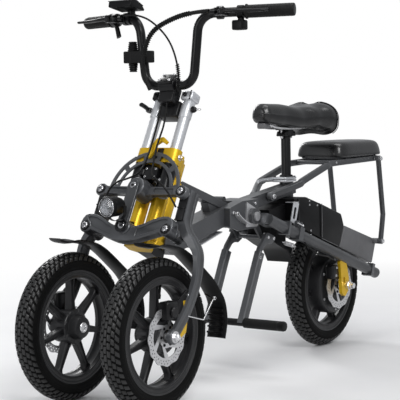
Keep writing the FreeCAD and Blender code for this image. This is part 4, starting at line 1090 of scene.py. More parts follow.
def fender(side, name):
    """A short blade over the tyre with an upturned beak, and a ribbed flap behind."""
    body = f"carrier_{name}"
    x = side * HALF_TRACK
    route = [(-50, 396), (-36, 386), (-14, 381), (17, 380), (68, 368.5), (100, 353.5), (129, 333.5)]
    route += [(163, 307), (196, 280), (222, 250), (240, 222), (246, 180), (236, 140)]
    line = smooth_line([spot(x, y, z) for y, z in route], 4)

    def section(share):
        half = 17 + 10 * min(1.0, share / 0.14)
        drop = 7 * min(1.0, share / 0.2)
        row = [(-half, -drop), (-half * 0.7, -drop * 0.35), (0, 0), (half * 0.7, -drop * 0.35), (half, -drop)]
        return row + [(a, b - 2.4) for a, b in row[::-1]]

    blade = loft(line, section, LEFT)
    ribs = []
    for y, z in ((240, 208), (242.5, 194), (243, 180), (240.5, 166), (237, 152)):
        ribs.append(brick((46, 5, 4), plane_at(spot(x, y, z), LEFT, UP), 1.2))
    piece(f"mudguard_{name}", body, "plastic", blade, *ribs, angle=35, replaces=f"fender_{name}")
    bends = [(187, 50, 222), (187, 104, 207), (186, 114, 205), (185, 120, 209), (180, 163, 247)]
    stay = smooth_line([spot(side * x, y, z) for x, y, z in bends], 8)
    piece(f"mudguard_stay_{name}", body, "chrome", pipe(stay, 1.4, 10))
    tip = rod(spot(side * 184, 163, 247), spot(side * 150, 171, 256), 2.4)
    piece(f"mudguard_tip_{name}", body, "black_metal", tip)
    bolt = socket_bolt(spot(side * 182, 164, 249), LEFT * side, 4.5, 3)
    piece(f"mudguard_bolt_{name}", body, "chrome", bolt)


def caliper(side, name):
    """A cable disc caliper: a body over the disc, a gold arm behind the leg, and its bolts."""
    body = f"carrier_{name}"
    main = brick((30, 40, 44), level(side * 168, 2, 239), 6, 3)
    knob = lathe([(0, 0), (0, 12), (4, 13), (7, 11), (7, 0)], spot(side * 183, 2, 236), LEFT * side, 28)
    bracket = prism(
        rounded([(-8, 216), (40, 232), (78, 268), (64, 282), (30, 262), (-12, 244)], 5), 6,
        upright(side * 176), 1.2,
    )
    piece(
        f"brake_caliper_{name}", body, "black_metal", main, knob, bracket, angle=30,
        replaces=f"caliper_{name}",
    )
    outline = [
        (44, 258), (60, 257), (67, 240), (61, 212), (54, 182), (34, 172), (20, 182), (36, 204), (48, 232),
    ]
    gold = prism(rounded(outline, 4), 6, upright(side * 176.5), 1.2)
    piece(f"caliper_arm_{name}", body, "gold", gold)
    bolts = [socket_bolt(spot(side * 179, y, z), LEFT * side, 3.6, 3) for y, z in ((64, 268), (16, 246))]
    piece(f"caliper_bolts_{name}", body, "chrome", *bolts)


def headlight():
    """Barrel, hood, faceted bowl and fluted lens, on a strap below the front plate."""
    where = spot(0, -8, 472)
    shell = [
        (0, 20.5), (-1.4, 22.5), (-0.6, 25), (4, 25.4), (6, 24.4), (34, 23.6), (46, 20), (54, 12),
        (56, 5), (56, 0),
    ]
    barrel = lathe(shell, where, BACK, 56)
    hood = lathe([(-1.2, 22.6), (-2.0, 24.6), (0, 25.4), (7, 25.4)], where, BACK, 56)
    piece("lamp_barrel", "truck", "plastic", barrel, angle=35, replaces="headlight_pod")
    piece("lamp_trim", "truck", "plastic", hood)
    bright = lathe([(-1.6, 21.6), (-2.2, 22.2), (-1.6, 22.8)], where, BACK, 56, closed=True)
    piece("lamp_bright_ring", "truck", "chrome", bright)
    bowl = [(0, 21.5), (6, 18), (10, 12.5), (7.5, 9.5), (12, 5), (14, 3), (5, 2.4), (3.5, 0)]
    facets = lathe(bowl, where, BACK, 9)
    piece("lamp_reflector", "truck", "chrome", facets, finish=BOWL, angle=5)
    lens = [(-4.2, 0), (-3.6, 9), (-1.8, 17), (0.2, 21.2), (2, 21.2), (0.4, 17), (-1.6, 9), (-2.2, 0)]
    glass = lathe(lens, where, BACK, 48)
    piece("lamp_lens", "truck", "lens", glass, angle=50, replaces="headlight_lens")
    strap = [spot(26.5, 28, 474), spot(26, 26, 452), spot(14, 24, 441), spot(0, 24, 438)]
    strap += [spot(-14, 24, 441), spot(-26, 26, 452), spot(-26.5, 28, 474)]
    band = loft(smooth_line(strap, 6), lambda share: [(5, 0.9), (-5, 0.9), (-5, -0.9), (5, -0.9)], BACK)
    piece("lamp_bracket", "truck", "black_metal", band)
    tail = rod(spot(0, 30, 438), column_spot(0, -118, 420), 4.0)
    piece("lamp_bracket_stem", "truck", "black_metal", tail)


def crown_dress():
    """The crown's two screws and the nuts behind the arm pivots."""
    near, far = column_spot(66, -93, 605), column_spot(-66, -93, 605)
    ring = washer(near - LEFT * 0.003, LEFT, 7.5, 1.6)
    piece("crown_screw", "truck", "chrome", socket_bolt(near, LEFT, 5.5, 7), ring)
    piece("crown_screw_far", "truck", "chrome", socket_bolt(far, -LEFT, 5.5, 7))
    nuts = []
    for up in (UPPER, LOWER):
        nuts += hex_nut(column_spot(0, -78, up), COLUMN_BACK, 9, 7, dome=False)
    piece("pivot_nuts", "truck", "chrome", *nuts)


def column_dress():
    """The column's gold and black with a painted shade on the yoke's neck; sleeves, boots, the lean lock's
    motor and spring, and the yoke's slots.
    """
    column = NODES["column"]
    column.data.materials.clear()
    column.data.materials.append(gold_column("gold"))
    sleeve = [(0, 14.9), (0, 17), (76, 17), (76, 14.9)]
    sleeves = [
        lathe(sleeve, column_spot(x, TUBE_BACK, 508), COLUMN_UP, 36, closed=True)
        for x in (TUBE_X, -TUBE_X)
    ]
    piece("stanchion_sleeves", "truck", "black_metal", *sleeves)
    insert = brick((16, 6, 34), on_column(16, -113, 604), 1.5)
    piece("crown_insert", "truck", "black_metal", insert)
    boots = []
    for x in (26.5, -26.5):
        profile = [(0, 19.1), (0, 20.6)]
        for fold in range(7):
            profile += [(2 + fold * 7, 20.8), (5.5 + fold * 7, 19.6)]
        profile += [(51, 20.6), (51, 19.1)]
        boots.append(lathe(profile, column_spot(x, -77, 531), COLUMN_UP, 36, closed=True))
    piece("column_boots", "truck", "rubber", *boots)
    motor = brick((40, 22, 34), on_column(2, -100, 556), 3)
    outline = [(0, 0), (0, 9), (2, 10.5), (14, 10.5), (16, 9), (16, 0)]
    cap = lathe(outline, column_spot(-30, -101, 552), COLUMN_UP, 28)
    horn = brick((20, 14, 12), on_column(34, -100, 540), 2)
    piece("lock_motor", "truck", "black_metal", motor, cap, horn)
    screws = [socket_bolt(column_spot(x, -111, up), FORWARDS, 3, 2) for x in (-12, 16) for up in (546, 567)]
    screws.append(socket_bolt(column_spot(34, -107, 540), FORWARDS, 3.4, 3))
    piece("lock_motor_screws", "truck", "chrome", *screws)
    coil = []
    for index in range(8 * 12 + 1):
        turn = 2 * math.pi * index / 12
        coil.append(column_spot(52 + 4 * math.cos(turn), -104 + 4 * math.sin(turn), 522 + index * 0.34))
    piece("lock_spring", "truck", "steel", pipe(coil, 0.9, 6))
    slots = []
    for x, up, wide in ((6, 389, 34), (14, 379, 30)):
        place = plane_at(column_spot(x, -93.6 + x * 0.06, up), LEFT, COLUMN_BACK)
        slots.append(brick((wide, 2, 4), place, 0.8))
    piece("yoke_slots", "truck", "black_metal", *slots)


# ---------------------------------------------------------------- bar, stem and controls

BAR_Y, BAR_LOW, BAR_HIGH, HALF_BAR = 246.0, 757.0, 930.0, 323.0


def bar_end(side):
    """The middle of a grip's outer end."""
    return spot(side * HALF_BAR, BAR_Y + 71, BAR_HIGH)


def grip_direction(side):
    """Outwards along a grip, which sweeps back a little."""
    return (bar_end(side) - spot(side * 93, BAR_Y, BAR_HIGH - 1)).normalized()


def along_grip(side, inward):
    """A point on the bar's line, so many millimetres in from its end."""
    return bar_end(side) - grip_direction(side) * inward / 1000


def ahead(side):
    """Level and square to the grip, forwards."""
    return UP.cross(grip_direction(side)).normalized() * -side


def grips():
    """Ringed sleeves with a plug in each end."""
    sleeves, caps = [], []
    for side in (1, -1):
        start = along_grip(side, 122)
        profile = [(0, 11.6), (0, 17), (1, 18), (4, 18), (5.5, 16)]
        along = 7
        while along < 112:
            profile += [(along, 15.3), (along + 0.8, 15.8), (along + 2.2, 15.8), (along + 3.0, 15.3)]
            along += 3.6
        profile += [(112, 15.6), (119, 15.6), (121, 14.6), (121.4, 13.6), (121.4, 11.6)]
        sleeves.append(lathe(profile, start, grip_direction(side), 40, closed=True))
        end = [(120, 0), (120, 13), (121.6, 13.6), (122, 12), (122, 0)]
        caps.append(lathe(end, start, grip_direction(side), 32))
    piece("grip_sleeves", "bar", "rubber", *sleeves, angle=50, replaces="grips")
    piece("grip_plugs", "bar", "plastic", *caps)


LEVER_PIVOT, LEVER_AHEAD = 169, 0.048


def brake_lever(side, name):
    """A flat blade with a rounded tip on a two-eared perch."""
    pivot = along_grip(side, LEVER_PIVOT) + ahead(side) * LEVER_AHEAD
    route = [
        along_grip(side, LEVER_PIVOT - 3) + ahead(side) * LEVER_AHEAD,
        along_grip(side, 150) + ahead(side) * 0.052,
        along_grip(side, 132) + ahead(side) * 0.055 - UP * 0.001,
        along_grip(side, 96) + ahead(side) * 0.053 - UP * 0.002,
        along_grip(side, 66) + ahead(side) * 0.055 - UP * 0.002,
        along_grip(side, 48) + ahead(side) * 0.058 - UP * 0.002,
    ]

    def section(share):
        tall = 5.4 - 0.9 * math.sin(math.pi * min(1, share * 1.2))
        thick = 5.0 - 1.4 * share
        if share > 0.94:
            tall = 5.8
        return [(a * thick, b * tall) for a, b in circle(1.0, 14)]

    blade = loft(smooth_line(route, 6), section, UP)
    piece(
        f"lever_blade_{name}", f"brake_lever_{name}", "black_metal", blade,
        eye(pivot, UP, 6, 3.2, 8, 0.6), replaces=f"brake_lever_{name}",
    )
    clamp = tube_ring(along_grip(side, 194), grip_direction(side), 11.6, 16, 16)
    forward = ahead(side)
    across = forward.cross(UP)
    seat = along_grip(side, 176)
    ears = []
    for rise in (0.0077, -0.0077):
        outline = rounded([(-13, 10), (13, 10), (15, 48), (8, 55), (-3, 55), (-13, 44)], 3)
        outline = [(x if across.dot(grip_direction(side)) > 0 else -x, y) for x, y in outline]
        ears.append(prism(outline, 2.6, plane_at(seat + UP * rise, across, forward), 0.5))
    body = brick((26, 20, 17.6), plane_at(seat + forward * 0.021, across, forward), 2.5)
    exit_way = seat + forward * 0.034 - grip_direction(side) * 0.012
    barrel = rod(exit_way, exit_way - grip_direction(side) * 0.022, 4.6)
    piece(f"lever_perch_{name}", "bar", "black_metal", clamp, body, barrel, *ears)
    cap = socket_bolt(pivot + UP * 0.0088, UP, 4, 1.6)
    pin = rod(pivot - UP * 0.0095, pivot + UP * 0.009, 3.0)
    piece(f"lever_pin_{name}", "bar", "steel", cap, pin)


def display():
    """A hooded display on a clamp inboard of the far grip."""
    heart = spot(-124, 236, 960)
    turn = Matrix.Rotation(math.radians(-12), 3, "X")
    back, up = turn @ BACK, turn @ UP
    hood = rounded([(-29, -9), (27, -8), (29, -4), (20, 3), (-10, 11), (-29, 6)], 3)
    case = prism(hood, 72, plane_at(heart, back, up), 3.0, 3)
    piece("display_case", "bar", "plastic", case, angle=30, replaces="display")
    slope = (back * 32 - up * 9).normalized()
    face = slope.cross(LEFT).normalized()
    if face.dot(up) < 0:
        face = -face
    pane = prism(
        rounded(rectangle(27, 14), 3), 2.0, plane_at(heart + back * 0.009 + up * 0.0069, LEFT, slope),
        0.5,
    )
    piece("display_pane", "bar", "gloss_plastic", pane)
    ring = tube_ring(along_grip(-1, 212), grip_direction(-1), 11.6, 16, 12)
    foot = brick((13, 18, 16), plane_at(along_grip(-1, 207) + UP * 0.015, LEFT, BACK), 2)
    piece("display_foot", "bar", "plastic", ring, foot)
    buttons = [
        brick((9, 6, 3), plane_at(heart + LEFT * x + back * 0.0245 - up * 0.0005, LEFT, slope), 1.2)
        for x in (-0.018, 0, 0.018)
    ]
    piece("display_keys", "bar", "rubber", *buttons)
    brow = prism(
        rounded([(-31, 7), (-10, 12.5), (21, 4.6), (21, 2.8), (-10, 10.6), (-31, 5)], 0.8), 74,
        plane_at(heart, back, up), 0.6,
    )
    piece("display_brow", "bar", "grey_plastic", brow)


def throttle():
    """A ring round the bar beside the far grip, with its thumb paddle below."""
    ring = tube_ring(along_grip(-1, 145), grip_direction(-1), 11.8, 17, 18, 1.5)
    top = along_grip(-1, 136)
    line = smooth_line(
        [
            top - UP * 0.012, top - UP * 0.026 + Vector((0.006, -0.002, 0)),
            top - UP * 0.044 + Vector((0.012, -0.004, 0)),
        ],
        6,
    )
    paddle = loft(
        line, lambda share: [(a * (7 + 2 * share), b * 4.5) for a, b in circle(1.0, 16)],
        grip_direction(-1),
    )
    piece("throttle_paddle", "throttle", "plastic", ring, paddle, replaces="throttle")


def switch_pod():
    """The pod below the near grip, with the horn's button on its back."""
    heart = along_grip(1, 134) + Vector((0, -0.006, -0.032))
    body = brick((32, 26, 24), plane_at(heart, LEFT, BACK), 4.0, 3)
    lip = brick((26, 2.2, 17), plane_at(heart + BACK * 0.0125, LEFT, BACK), 0.9)
    neck = brick((13, 11, 15), plane_at(along_grip(1, 134) - UP * 0.0155, LEFT, BACK), 1.5)
    ring = tube_ring(along_grip(1, 142), grip_direction(1), 11.6, 16, 16)
    piece("switch_body", "bar", "plastic", body, neck, ring, lip, replaces="switch_pod")
    button = along_grip(1, 134) + Vector((0, 0.0065, -0.032))
    cap = lathe([(-3, 0), (-3, 4.8), (2.6, 4.8), (3.4, 4.0), (3.6, 2.6), (3.3, 0)], button, BACK, 28)
    piece("horn_cap", "horn_button", "gloss_plastic", cap, replaces="horn_button")


def stem():
    """Clamp block between the two tubes, a neck to the bar, its face plate and the tube caps."""
    block = brick((62, 36, 42), on_column(0, TUBE_BACK, 731), 4, 3)
    neck = brick((46, 32, 46), on_column(0, -121, 762), 5, 3)
    shell = eye(spot(0, BAR_Y, BAR_LOW), LEFT, 23, 12, 20, 1.5, 48)
    piece("stem_body", "bar", "black_metal", block, neck, shell, replaces="stem")
    collar = [(0, 14.35), (0, 15.4), (1, 15.8), (45, 15.8), (46, 15.4), (46, 14.35)]
    collars = [
        lathe(collar, column_spot(x, TUBE_BACK, 711), COLUMN_UP, 44, closed=True)
        for x in (TUBE_X, -TUBE_X)
    ]
    piece("tube_collars", "bar", "silver", *collars)
    facing = (COLUMN_BACK * -0.86 + COLUMN_UP * 0.5).normalized()
    where = spot(0, BAR_Y, BAR_LOW) + facing * 0.0195
    upward = facing.cross(LEFT).normalized()
    if upward.z < 0:
        upward = -upward
    plate = prism(rounded(rectangle(21, 17), 4), 7, plane_at(where, LEFT, upward), 1.5)
    piece("stem_face_plate", "bar", "black_metal", plate)
    bolts = []
    for x in (-0.015, 0.015):
        for rise in (-0.012, 0.012):
            bolts.append(socket_bolt(where + LEFT * x + upward * rise + facing * 0.0034, facing, 3.6, 3))
    piece("stem_bolts", "bar", "chrome", *bolts)
    caps, screws = [], []
    for x in (TUBE_X, -TUBE_X):
        caps.append(brick((36, 36, 24), on_column(x, TUBE_BACK, 769), 5, 3))
        screws.append(socket_bolt(column_spot(x - 4, -113, 769), FORWARDS, 5.4, 3.5))
        screws.append(brick((3, 3, 24.6), on_column(x + 11, -111.6, 769), 0.5))
    piece("tube_cap_l", "bar", "silver", caps[0])
    piece("tube_cap_r", "bar", "black_metal", caps[1])
    piece("tube_cap_screws", "bar", "black_metal", *screws)


def stem_lever():
    """The clamp's skewer: the quick-release arm on the far side and a cone nut on the near one."""
    where = column_spot(-63, -95, 736)
    skewer = rod(where, where - LEFT * 0.017, 3.0)
    cam = eye(where - LEFT * 0.010, COLUMN_UP, 5, 0, 9, 1)
    bends = [(-74, -88, 736), (-75, -104, 737), (-74, -118, 736), (-73, -131, 734)]
    route = smooth_line([column_spot(*place) for place in bends], 5)
    handle = loft(route, lambda share: [(a * (5.6 + share), b * 5.4) for a, b in circle(1.0, 18)], LEFT)
    piece("skewer_arm", "stem_lever", "black_metal", cam, handle, replaces="stem_lever")
    piece("skewer_rod", "stem_lever", "chrome", skewer)
    near = column_spot(60, -95, 736)
    cone = [(0, 0), (0, 6), (2, 8.4), (5, 8.4), (10, 6.2), (12, 4.4), (12, 0)]
    piece("skewer_cone", "bar", "black_metal", lathe(cone, near, LEFT, 30))
    piece("skewer_tail", "bar", "chrome", rod(near + LEFT * 0.010, near + LEFT * 0.026, 2.4))


def connector():
    """The ribbed cable joint strapped to the far upright of the bar."""
    profile = [(0, 0), (0, 8)]
    for fold in range(5):
        profile += [(1 + fold * 5.4, 10 + fold * 0.8), (4.4 + fold * 5.4, 8.6 + fold * 0.8)]
    profile += [(26, 15), (50, 15)]
    for fold in range(5):
        profile += [(51.6 + fold * 5, 12.6 - fold * 0.8), (54.8 + fold * 5, 14 - fold * 0.8)]
    profile += [(76, 8), (76, 0)]
    boot = lathe(profile, spot(-110, 240, 794), UP, 28)
    strap = brick((76, 33, 30), level(-93, 242, 831), 3, 3)
    key = brick((9, 5, 14), level(-63, 224, 838), 1.5)
    piece("cable_joint", "bar", "rubber", boot, strap, key)


def spiral(name, cord, body, first, last, pitch, radius, wire):
    """A spiral wrap round part of a cord, along points read from its curve."""
    bare = bpy.data.objects[cord].copy()
    bare.data = bare.data.copy()
    bare.data.bevel_depth = 0
    bpy.context.scene.collection.objects.link(bare)
    mesh = bpy.data.meshes.new_from_object(bare)
    line = [vertex.co.copy() for vertex in mesh.vertices]
    bpy.data.objects.remove(bare)
    bpy.data.meshes.remove(mesh)
    reach = [0.0]
    for start, end in zip(line, line[1:]):
        reach.append(reach[-1] + (end - start).length)
    points = []
    along, turn, index = reach[-1] * first, 0.0, 0
    while along < reach[-1] * last:
        while reach[index + 1] < along:
            index += 1
        ahead_way = (line[index + 1] - line[index]).normalized()
        where = line[index] + ahead_way * (along - reach[index])
        side = ahead_way.cross(BACK).normalized()
        up = side.cross(ahead_way)
        points.append(where + (side * math.cos(turn) + up * math.sin(turn)) * radius)
        turn += math.pi / 5
        along += pitch / 10
    piece(name, body, "rubber", pipe(points, wire * 1000, 6))


def cable(name, body, diameter, points, replaces=None):
    """A control cable on one smooth curve through its route."""
    curve = bpy.data.curves.new(name, "CURVE")
    curve.dimensions = "3D"
    curve.bevel_depth = diameter / 2
    curve.bevel_resolution = 3
    curve.resolution_u = 16
    spline = curve.splines.new("NURBS")
    spline.points.add(len(points) - 1)
    for target, point in zip(spline.points, points):
        target.co = (*point, 1)
    spline.order_u = 3
    spline.use_endpoint_u = True
    obj = bpy.data.objects.new(name, curve)
    bpy.context.scene.collection.objects.link(obj)
    settle(obj, body, "rubber")
    if replaces:
        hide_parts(replaces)


THIN, THICK = 0.0048, 0.010


def cables():
    """Two cables at the bar, two down the column and one under the near rail."""
    route = [(-146, 232, 937), (-110, 214, 936), (-64, 212, 932), (-20, 208, 914), (30, 204, 872)]
    route += [(54, 203, 822), (60, 205, 770), (50, 212, 742)]
    cable("display_cable", "bar", THIN, [spot(*p) for p in route], "bar_cables")
    route = [(140, 222, 932), (82, 217, 931), (12, 213, 911), (-28, 212, 889), (-48, 214, 858)]
    route += [(-62, 218, 822), (-63, 220, 785), (-44, 222, 748)]
    cable("bar_harness", "bar", THICK, [spot(*p) for p in route])
    route = [(8, 222, 714), (14, 206, 668), (20, 169, 622), (24, 150, 592), (32, 130, 563)]
    route += [(40, 112, 543), (66, 102, 532), (88, 102, 514), (102, 106, 492), (117, 106, 468)]
    cable("column_cable_l", "truck", THIN, [spot(*p) for p in route], "column_cables")
    route = [(-8, 222, 714), (-8, 206, 670), (-2, 176, 624), (3, 152, 592), (4, 130, 562), (0, 110, 544)]
    route += [(-28, 102, 532), (-52, 102, 528), (-80, 104, 512), (-96, 104, 488), (-104, 104, 464)]
    cable("column_cable_r", "truck", THIN, [spot(*p) for p in route])
    route = [(99, 200, -20), (101, 245, -32), (100, 290, -34), (98, 335, -24), (90, 375, -26)]
    cable("rear_cable_run", "rear", THIN, [rail_spot(*p) for p in route], "rear_cable")
    spiral("harness_wrap", "bar_harness", "bar", 0.16, 0.74, 0.0062, 0.0056, 0.0013)
    spiral("display_cable_wrap", "display_cable", "bar", 0.80, 0.99, 0.0050, 0.0042, 0.0012)


# ---------------------------------------------------------------- seat

PITCH = math.radians(19.4)
RAIL_BACK = Vector((0, math.cos(PITCH), -math.sin(PITCH)))
RAIL_UP = Vector((0, math.sin(PITCH), math.cos(PITCH)))


def rail_spot(x, along, rise=0.0):
    """A point on a rail's line, counted back from the fold pin."""
    return spot(x, 530, 413) + (RAIL_BACK * along + RAIL_UP * rise) / 1000


def table(rows, share):
    """Smoothly eased reading of a table of (share, value, ...)."""
    for first, last in zip(rows, rows[1:]):
        if share <= last[0]:
            part = (share - first[0]) / (last[0] - first[0])
            part = part * part * (3 - 2 * part)
            return [a + (b - a) * part for a, b in zip(first[1:], last[1:])]
    return list(rows[-1][1:])


SADDLE_FRONT, SADDLE_LENGTH = 643.0, 276.0


def saddle_place(share):
    """How far back a share of the saddle's length lies, with the ends drawn closer together."""
    return SADDLE_FRONT + SADDLE_LENGTH * (0.5 - 0.5 * math.cos(math.pi * share)) ** 0.93


SADDLE_ROWS = [  # share along, half width, top height, skirt height, crown roundness
    (0.00, 9, 684, 662, 3),
    (0.04, 20, 699, 650, 6),
    (0.14, 31, 710, 641, 9),
    (0.34, 37, 709, 634, 9),
    (0.52, 52, 702, 628, 8),
    (0.66, 72, 704, 634, 7),
    (0.80, 89, 712, 624, 8),
    (0.92, 92, 714, 612, 10),
    (0.98, 82, 706, 620, 10),
    (1.00, 64, 692, 638, 8),
]
SADDLE_DIP = 12
POST_Y = 778


def saddle_section(share, a):
    """Across and up at an angle round the saddle's section, which dips in the middle behind."""
    half, top, skirt, crown = table(SADDLE_ROWS, share)
    tail = max(0.0, (share - 0.5) / 0.5)
    c, s = math.cos(a), math.sin(a)
    x = half * math.copysign(abs(c) ** 0.72, c)
    middle = (top + skirt) / 2
    z = middle + (top - middle) * math.copysign(abs(s) ** (0.62 if s > 0 else 0.5), s)
    if s > 0:
        z -= SADDLE_DIP * tail * math.exp(-((x / 17) ** 2)) * s
        z -= crown * (abs(x) / half) ** 2.6 * 0.9
    else:
        z += 16 * math.exp(-((x / 40) ** 2)) * (1 - 0.4 * tail)
        x *= 1 - 0.13 * abs(s)
    return x, z


def saddle():
    """A sprung city saddle: narrow nose, wide padded tail with a dip between two pads."""
    bm = bmesh.new()
    rings = []
    steps, around = 44, 36
    for index in range(steps + 1):
        share = index / steps
        ring = []
        for step in range(around):
            x, z = saddle_section(share, 2 * math.pi * step / around)
            ring.append(bm.verts.new(spot(x, saddle_place(share), z)))
        rings.append(ring)
    cover = piece("saddle_skin", "seat", "saddle_cover", skin(bm, rings), angle=180, replaces="saddle")
    smoother = cover.modifiers.new("smoother", "SUBSURF")
    smoother.levels = smoother.render_levels = 1
    lift, piping = 1.2, 1.1
    for name, share in (("front", 0.885), ("rear", 0.925)):
        seam = []
        for step in range(25):
            a = math.radians(-38 + 256 * step / 24)
            x, z = saddle_section(share, a)
            x += math.cos(a) * lift - math.copysign(0.6, math.cos(a))
            seam.append(spot(x, saddle_place(share), z + math.sin(a) * lift - 0.7))
        piece(f"saddle_piping_{name}", "seat", "rubber", pipe(smooth_line(seam, 2), piping, 8))
    rails = []
    for side in (1, -1):
        line = [
            spot(side * 12, 676, 652), spot(side * 21, 705, 643), spot(side * 22, 770, 640),
            spot(side * 24, 835, 641), spot(side * 36, 872, 650),
        ]
        rails.append(pipe(smooth_line(line, 6), 3.4, 12))
    piece("saddle_rails", "seat", "steel", *rails)
    nose = brick((26, 34, 16), level(0, 668, 649), 4, 3)
    piece("saddle_nose_bracket", "seat", "grey_plastic", nose)


def seat_post():
    """Post with a swaged top, a two-bolt micro-adjust head, and toothed cheeks."""
    post = [(402, 10.5), (402, 13.5), (612, 13.5), (618, 12.2), (636, 12.2), (636, 10.5)]
    tube = lathe(post, spot(0, POST_Y, 0), UP, 40, closed=True)
    head = eye(spot(0, 780, 634), LEFT, 17, 0, 14, 2, 32)
    cradle = brick((44, 46, 8), level(0, 780, 639), 2.5)
    lower = prism(rounded([(-30, 618), (30, 618), (24, 632), (-24, 632)], 3), 30, upright(0, 780, 0), 2.0)
    piece("post_tube", "seat", "black_metal", tube, head, cradle, lower, replaces="seat_post")
    teeth = []
    for index in range(7):
        a = math.radians(200 + 20 * index)
        where = spot(0, 780 + 16 * math.cos(a), 633 + 16 * math.sin(a))
        teeth.append(rod(where - LEFT * 0.016, where + LEFT * 0.016, 2.0, 0.6, 10))
    piece("post_teeth", "seat", "black_metal", *teeth)
    bolts = []
    for y in (757, 803):
        bolts.append(rod(spot(0, y, 616), spot(0, y, 644), 2.6))
        bolts.append(socket_bolt(spot(0, y, 617), -UP, 4.4, 5))
    piece("post_bolts", "seat", "steel", *bolts)


def seat_clamp():
    """A silver two-layer clamp block with its cam lever along the beam's side."""
    plan = rounded([(-24, 738), (24, 738), (24, 800), (-24, 800)], 10)
    layers = [
        prism(plan, 6.2, plane_at(Vector((0, AXLE_Y, z / 1000)), LEFT, BACK), 1.2) for z in (493.8, 501.2)
    ]
    piece("clamp_layers", "frame", "silver", *layers, replaces="seat_clamp")
    post_ring = lathe(
        [(0, 13.6), (0, 18), (1.5, 19), (5, 18), (6, 16.5), (6, 13.6)], spot(0, POST_Y, 504), UP, 36,
        closed=True,
    )
    piece("clamp_rubber", "frame", "rubber", post_ring)
    screws = [socket_bolt(spot(x, y, 504.2), UP, 3.6, 2.4) for x in (-17, 17) for y in (745, 793)]
    piece("clamp_screws", "frame", "black_metal", *screws)
    arm_line = [spot(-26, 748, 497.3), spot(-27, 725, 497.5), spot(-28.5, 700, 497), spot(-28, 676, 495)]
    blade = loft(
        smooth_line(arm_line, 5),
        lambda share: [(a * 4.2, b * (6.2 - 1.2 * share)) for a, b in circle(1.0, 16)], LEFT,
    )
    pivot = eye(spot(-26, 748, 497.3), LEFT, 4.4, 0, 6.4, 0.8)
    piece("cam_lever", "seat_lever", "silver", blade, pivot, replaces="seat_lever")


PAD_HALF, PAD_FRONT, PAD_REAR, PAD_TOP_FROM = 84.0, 949.0, 1204.0, 590
PAD_LEVELS = [  # share of the full outline, height
    (0.92, 551.6),
    (0.98, 552.2),
    (1.0, 556),
    (0.99, 564),
    (0.965, 574),
    (0.935, 583),
    (0.885, 590.5),
    (0.80, 595.5),
    (0.66, 597.8),
    (0.42, 599.0),
    (0.18, 599.4),
]


def pad():
    """The rear seat pad: crowned top and soft rounded walls that flare down to the board."""
    bm = bmesh.new()
    rings = []
    count = 72
    for scale, z in PAD_LEVELS:
        inset = (1 - scale) * 79
        ring = []
        for index in range(count):
            a = 2 * math.pi * index / count
            c, s = math.cos(a), math.sin(a)
            u = math.copysign(abs(c) ** 0.32, c)
            v = math.copysign(abs(s) ** 0.32, s)
            x = u * (PAD_HALF - inset)
            y = (PAD_FRONT + PAD_REAR) / 2 + v * ((PAD_REAR - PAD_FRONT) / 2 - inset)
            corner = (abs(u) * abs(v)) ** 6
            drop = 1.6 * corner if z > PAD_TOP_FROM else 0.0
            ring.append(bm.verts.new(spot(x, y, z - drop)))
        rings.append(ring)
    cover = piece("pad_cover", "rack", "saddle_cover", skin(bm, rings), angle=180, replaces="pad")
    smoother = cover.modifiers.new("smoother", "SUBSURF")
    smoother.levels = smoother.render_levels = 1
    board = prism(
        rounded([(-66, 962), (66, 962), (66, 1186), (-66, 1186)], 10), 4,
        plane_at(Vector((0, AXLE_Y, 0.5498)), LEFT, BACK), 1,
    )
    piece("pad_board", "rack", "gunmetal", board)


# ---------------------------------------------------------------- rack and struts

RACK_PIVOT, STRUT_TOP, STRUT_FOOT = (655, 457), (1160, 541), (1170, 291)

def rack():
    """The bent rack: two arms flattened at their pivots, two cross bars and the bolts."""
    arms = []
    for side in (1, -1):
        route = [
            (28.5, 655, 457), (34, 668, 464), (66, 738, 486), (67, 760, 495), (67, 890, 531),
            (67, 915, 536), (67, 1172, 542),
        ]
        line = smooth_line([spot(side * x, y, z) for x, y, z in route], 5)

        def section(share):
            flat = max(0.0, 1 - share / 0.06)
            return rounded(rectangle(7.5 - 3.5 * flat, 8.5 + flat), 2.2, 3)

        arms.append(loft(line, section, LEFT))
        arms.append(eye(spot(side * 28.3, *RACK_PIVOT), LEFT, 7, 5.1, 12, 1, 32))
    arms += [rod(spot(-62, y, z), spot(62, y, z), 6) for y, z in ((935, 537.7), (1040, 540))]
    piece("rack_frame", "rack", "gunmetal", *arms, replaces="rack")
    pins = [rod(spot(-94, *STRUT_TOP), spot(94, *STRUT_TOP), 3.9)]
    for side in (1, -1):
        pins.append(socket_bolt(spot(side * 93, *STRUT_TOP), LEFT * side, 6.4, 4))
        pins.append(socket_bolt(spot(side * 37.5, *RACK_PIVOT), LEFT * side, 6.8, 3.4))
        pins.append(socket_bolt(spot(side * 74.5, 930, 538), LEFT * side, 3.2, 2))
    piece("rack_bolts", "rack", "chrome", *pins)


def struts():
    """The two flat struts from the rack down to the tail, with their lower bolts."""
    flat_tube = rounded(rectangle(5.6, 7.5), 2.2, 3)
    tubes, bolts = [], []
    for side in (1, -1):
        x = side * 85
        route = [STRUT_TOP, (1164, 515), (1184, 385), (1185, 365), (1173, 305), STRUT_FOOT]
        line = smooth_line([spot(x, y, z) for y, z in route], 6)
        tubes.append(loft(line, lambda share: flat_tube, LEFT))
        for y, z in (STRUT_TOP, STRUT_FOOT):
            tubes.append(eye(spot(x, y, z), LEFT, 6.4, 4.1, 9, 1))
        bolts.append(socket_bolt(spot(side * 91.5, *STRUT_FOOT), LEFT * side, 6.4, 4))
        bolts.append(rod(spot(side * 78, *STRUT_FOOT), spot(side * 92, *STRUT_FOOT), 4.0))
    piece("strut_tubes", "struts", "gunmetal", *tubes, replaces="struts")
    piece("strut_bolts", "struts", "chrome", *bolts)


# ---------------------------------------------------------------- battery, tail and rear frame


